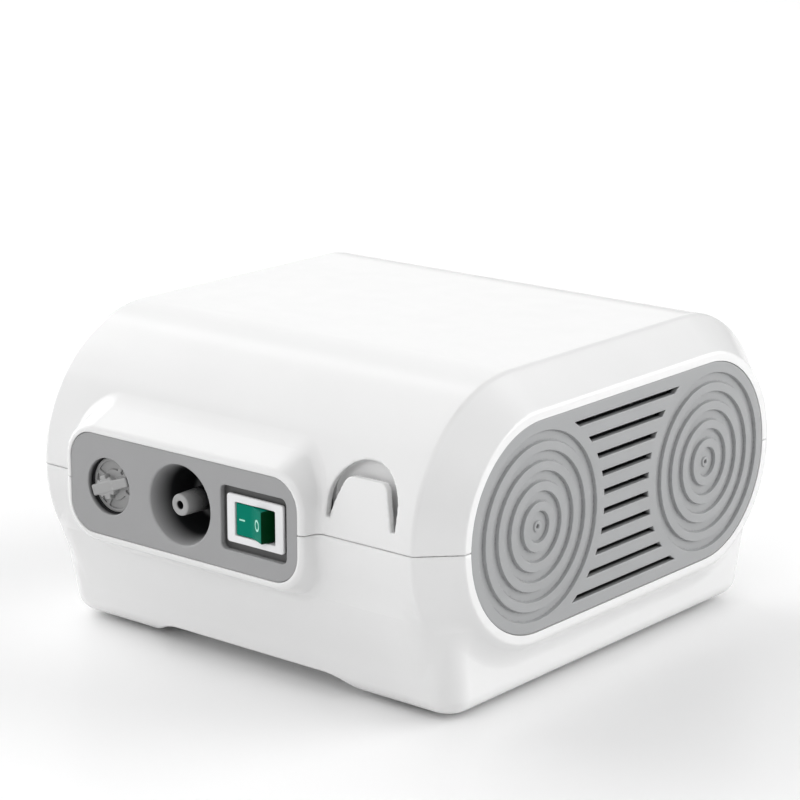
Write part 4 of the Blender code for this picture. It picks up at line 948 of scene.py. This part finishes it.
def filter_cap(x, y, z):
    """A disc with a grip bar across it, a notched hub and four shallow pockets."""
    depth = y - PANEL_Y
    cosine, sine = math.cos(CAP_TURN), math.sin(CAP_TURN)
    across = (x - FILTER_X) * cosine + (z - PARTING_Z) * sine
    up = (z - PARTING_Z) * cosine - (x - FILTER_X) * sine
    distance = np.hypot(across, up)
    thickness = between(depth, FILTER_RECESS, FILTER_RECESS + CAP_THICKNESS)
    disc = rounded_and(distance - FILTER_RADIUS + CAP_GAP, thickness, 0.3)
    angle = np.arctan2(up, across + HUB_OFFSET)
    notched = HUB_RADIUS - HUB_NOTCH * blend(np.cos(HUB_TEETH * angle), 0.2, 0.9)
    off_centre = np.hypot(across + HUB_OFFSET, up)
    hub = rounded_and(off_centre - notched, between(depth, 0.5, FILTER_RECESS + 1), 0.5)
    half_length, half_width = BAR_HALF
    taper = half_width - BAR_TAPER * (across + 8.0)
    bar = rounded_and(abs(up) - taper, abs(across) - half_length, 0.6)
    bar = rounded_and(bar, between(depth, 0.2, FILTER_RECESS + 1), 0.5)
    rib = np.minimum(abs(up - across), abs(up + across)) / math.sqrt(2) - RIB_HALF
    pocket = np.maximum(between(distance, *POCKET_RING), POCKET_START - abs(up))
    pocket = rounded_and(pocket, -rib, 0.3)
    disc = rounded_and(disc, -np.maximum(pocket, depth - FILTER_RECESS - POCKET_DEPTH), 0.25)
    return rounded_or(disc, rounded_or(hub, bar, 0.4), 0.3)


def bezel_front():
    return PANEL_Y + SWITCH_RECESS[2] - 0.3 - BEZEL_THICKNESS


def switch_housing(x, y, z):
    """Bezel frame and the body behind it, hollowed for the rocker."""
    front = bezel_front()
    across, up = x - SWITCH_X, z - PARTING_Z
    half_x, half_z, length = SWITCH_BODY
    frame = plate(across, up, *BEZEL_HALF, 1.0)
    frame = rounded_and(frame, between(y, front, front + BEZEL_THICKNESS), 0.45)
    block = np.maximum(plate(across, up, half_x, half_z, 0.5), between(y, front + 0.5, front + length))
    opening = np.maximum(plate(across, up, *ROCKER_HALF, 0.4), y - (front + length - SWITCH_BACK))
    return rounded_and(np.minimum(frame, block), -opening, 0.3)


def build_panel(paint):
    grid = (
        steps((PANEL_X - 48.2, PANEL_X + 48.2, 0.42)),
        steps((PANEL_Y - 1.0, PANEL_Y + 5.5, 0.35), (PANEL_Y + 5.5, PANEL_Y + 19.5, 0.8)),
        steps((PARTING_Z - 17.0, PARTING_Z + 17.0, 0.4)),
    )
    panel = carve("panel_face", control_panel, grid, paint["panel"])
    finish_piece(panel, "housing", ["control_panel"])

    reach = FILTER_RADIUS + 0.6
    grid = (
        steps((FILTER_X - reach, FILTER_X + reach, 0.2)),
        steps((PANEL_Y - 1.0, PANEL_Y + 5.2, 0.25)),
        steps((PARTING_Z - reach, PARTING_Z + reach, 0.2)),
    )
    cap = carve("cap_with_grip", filter_cap, grid, paint["cap"])
    finish_piece(cap, "filter_cap", ["filter_cap"])

    front = bezel_front()
    grid = (
        steps((SWITCH_X - 12.0, SWITCH_X + 12.0, 0.22)),
        steps((front - 0.6, front + 2.4, 0.2), (front + 2.4, front + 12.0, 0.7)),
        steps((PARTING_Z - 8.2, PARTING_Z + 8.2, 0.22)),
    )
    housing = carve("switch_bezel", switch_housing, grid, paint["bezel"])
    finish_piece(housing, "housing", ["switch_housing"])


def build_nozzle(paint):
    """A tube with a round lip in front, a stem through the cup's floor and a barb behind it."""
    floor = OUTLET_DEPTH
    profile = [
        (NOZZLE_BORE, floor + TAIL_REACH),
        (TAIL_RADIUS, floor + TAIL_REACH),
        (BARB_RADIUS, floor + BARB_REACH),
        (STEM_RADIUS, floor + BARB_REACH),
        (STEM_RADIUS, floor - 0.3),
        (NOZZLE_RADIUS + 0.5, floor - 0.3),
        (NOZZLE_RADIUS + 0.25, floor * 0.5),
        (NOZZLE_RADIUS, 1.2),
    ]
    for step in range(7):
        angle = math.radians(15 * step)
        radius = NOZZLE_RADIUS - NOZZLE_LIP + NOZZLE_LIP * math.cos(angle)
        profile.append((radius, 0.65 - NOZZLE_LIP * math.sin(angle)))
    profile += [(NOZZLE_BORE + 0.35, 0.1), (NOZZLE_BORE + 0.1, 0.2), (NOZZLE_BORE, 0.5)]
    item = turned("nozzle_tube", profile, (OUTLET_X, PANEL_Y, PARTING_Z), "Y", paint["nozzle"], 64)
    finish_piece(item, "housing", ["outlet_nozzle"])


def rocker_outline():
    """Corners of the rocker seen from above, from its left tip on, tilted to the rest position."""
    tip, reach = ROCKER_TIP
    valley = reach - tip * math.tan(ROCKER_TILT)
    back, behind = ROCKER_BACK
    front = [(-tip, -reach), (0, -valley), (tip, -reach)]
    outline = front + [(back, behind), (0, ROCKER_KEEL), (-back, behind)]
    cosine, sine = math.cos(ROCKER_TILT), math.sin(ROCKER_TILT)
    return [(u * cosine + v * sine, v * cosine - u * sine) for u, v in outline]


def build_rocker(paint):
    outline = rocker_outline()
    pivot = Vector((SWITCH_X, (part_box("switch_housing")[0].y / MM) + ROCKER_PIVOT, PARTING_Z))
    half = ROCKER_HALF[1] - 0.3

    def edge(first, second):
        """Distance to the right of a directed edge of the outline, in the XY plane."""
        du, dv = second[0] - first[0], second[1] - first[1]
        length = math.hypot(du, dv)
        return lambda u, v: (dv * (u - first[0]) - du * (v - first[1])) / length

    sides = [edge(a, b) for a, b in zip(outline, outline[1:] + outline[:1])]

    def field(x, y, z):
        u, v = x - pivot.x, y - pivot.y
        left, right, right_end, right_back, left_back, left_end = (side(u, v) for side in sides)
        front = rounded_or(left, right, 0.5)
        ends = rounded_and(right_end, left_end, 0.3)
        back = rounded_and(right_back, left_back, 0.5)
        prism = rounded_and(rounded_and(front, ends, 0.35), back, 0.4)
        return rounded_and(prism, abs(z - pivot.z) - half, 0.3)

    grid = (
        steps((pivot.x - 8.5, pivot.x + 8.5, 0.16)),
        steps((pivot.y - 8.6, pivot.y + 4.2, 0.16)),
        steps((pivot.z - 5.6, pivot.z + 5.6, 0.2)),
    )
    item = carve("rocker_lens", field, grid, paint["lens"])
    finish_piece(item, "rocker", ["switch_rocker"])


# ---------------------------------------------------------------- inlet and feet


def build_inlet(paint):
    """The mains inlet in the back: a flange, a round-ended socket and two pins."""
    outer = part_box("mains_inlet")[1].y / MM

    def field(x, y, z):
        across, up = x - INLET_X, z - INLET_Z
        flange = rounded_and(plate(across, up, *INLET_FLANGE, 2.0), between(y, outer - 1.6, outer), 0.5)
        block = np.maximum(plate(across, up, *INLET_BODY, 0.8), between(y, outer - 18.0, outer - 0.8))
        socket = np.maximum(plate(across, up, *SOCKET_HALF, 4.1), outer - SOCKET_DEPTH - y)
        pins = np.hypot(abs(across) - PIN_OFFSET, up) - PIN_RADIUS
        pins = np.maximum(pins, y - outer + 11.0)
        return np.maximum(rounded_and(np.minimum(flange, block), -socket, 0.4), -pins)

    grid = (
        steps((INLET_X - 14.0, INLET_X + 14.0, 0.35)),
        steps((outer - 19.0, outer - 3.0, 0.8), (outer - 3.0, outer + 0.8, 0.3)),
        steps((INLET_Z - 9.2, INLET_Z + 9.2, 0.35)),
    )
    item = carve("inlet_socket", field, grid, paint["dark"])
    finish_piece(item, "housing", ["mains_inlet"])
    for number in (1, 2):
        low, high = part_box(f"inlet_pin_{number}")
        middle = (low + high) / 2 / MM
        radius = (high.x - low.x) / 2 / MM
        length = (high.y - low.y) / MM
        profile = [(0, 0), (radius, 0), (radius, length - 0.8), (radius * 0.7, length - 0.2), (0, length)]
        base = (middle.x, low.y / MM, middle.z)
        pin = turned(f"pin_{number}", profile, base, "Y", paint["brass"], 32)
        finish_piece(pin, "housing", [f"inlet_pin_{number}"])


def build_feet(paint):
    """Rubber discs with a shallow dimple underneath and a round bottom edge."""
    for number in range(1, 5):
        low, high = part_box(f"foot_{number}")
        middle = (low + high) / 2 / MM
        profile = [(0, 0.5), (3.2, 0.5), (3.7, 0.05)]
        for step in range(5):
            angle = math.radians(-90 + 22.5 * step)
            radius = FOOT_RADIUS - FOOT_EDGE + FOOT_EDGE * math.cos(angle)
            profile.append((radius, FOOT_EDGE + FOOT_EDGE * math.sin(angle)))
        profile += [(FOOT_RADIUS, FOOT_HEIGHT), (0, FOOT_HEIGHT)]
        base = (middle.x, middle.y, low.z / MM)
        foot = turned(f"foot_pad_{number}", profile, base, "Z", paint["foot"], 64)
        finish_piece(foot, "housing", [f"foot_{number}"])


# ---------------------------------------------------------------- scene


def dress_nodes(frame, paint):
    """Dark plastic on the CAD nodes that stay: they are all inside the casing."""
    for item in frame["nodes"].values():
        if item.hide_render:
            continue
        item.data.materials.clear()
        item.data.materials.append(paint["dark"])
        item.data.shade_smooth()
        item.data.set_sharp_from_angle(angle=math.radians(35))


def build_studio():
    bpy.ops.mesh.primitive_plane_add(size=12.0, location=(0, 0, 0))
    floor = bpy.context.object
    floor.name = "floor"
    paint = new_material("floor_white", (0.92, 0.92, 0.92), 0.35)
    tree = paint.node_tree
    gloss = remap(tree, noise(tree, 3.0), 0.3, 0.7, 0.30, 0.40)
    tree.links.new(gloss, tree.nodes["Principled BSDF"].inputs["Roughness"])
    floor.data.materials.append(paint)
    floor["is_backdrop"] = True

    world = bpy.data.worlds.new("studio")
    world.use_nodes = True
    world.node_tree.nodes["Background"].inputs["Color"].default_value = (1, 1, 1, 1)
    world.node_tree.nodes["Background"].inputs["Strength"].default_value = WORLD_STRENGTH
    bpy.context.scene.world = world

    for name, toward, strength in (
        ("front_low", (0.0, -0.94, 0.34), 0.30),
        ("front_high", (0.0, -0.64, 0.77), 0.46),
        ("front_right", (0.45, -0.45, 0.77), 0.40),
        ("right_back", (0.66, 0.66, 0.33), 2.20),
        ("left_back", (-0.62, 0.62, 0.48), 0.45),
        ("left_low", (-0.94, 0.0, 0.34), 1.22),
        ("left_high", (-0.64, 0.0, 0.77), 0.60),
        ("left_front", (-0.66, -0.66, 0.34), 0.41),
    ):
        light = bpy.data.lights.new(name, "SUN")
        light.energy = strength
        light.angle = LIGHT_SIZE
        item = bpy.data.objects.new(name, light)
        item.rotation_mode = "QUATERNION"
        item.rotation_quaternion = (-Vector(toward)).to_track_quat("-Z", "Y")
        bpy.context.scene.collection.objects.link(item)


def build_camera():
    camera = bpy.data.cameras.new("camera")
    camera.lens = CAMERA_LENS
    camera.sensor_width = 36.0
    camera.clip_start, camera.clip_end = 0.01, 20.0
    item = bpy.data.objects.new("camera", camera)
    level = math.cos(CAMERA_ELEVATION)
    ahead, aside = math.cos(CAMERA_AZIMUTH) * level, -math.sin(CAMERA_AZIMUTH) * level
    look = Vector((aside, ahead, -math.sin(CAMERA_ELEVATION)))
    item.location = CAMERA_PLACE
    item.rotation_mode = "QUATERNION"
    item.rotation_quaternion = look.to_track_quat("-Z", "Y")
    bpy.context.scene.collection.objects.link(item)
    bpy.context.scene.camera = item


def main():
    """Builds everything and returns the bounds that the CAD model had by itself."""
    for item in list(bpy.data.objects):
        bpy.data.objects.remove(item)
    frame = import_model()
    cad_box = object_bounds()
    paint = make_materials()
    build_casing(paint)
    build_grilles(paint)
    build_panel(paint)
    build_nozzle(paint)
    build_rocker(paint)
    build_inlet(paint)
    build_feet(paint)
    dress_nodes(frame, paint)
    build_studio()
    build_camera()
    bpy.context.scene.view_settings.view_transform = "Standard"
    return cad_box


CAD_BOX = main()
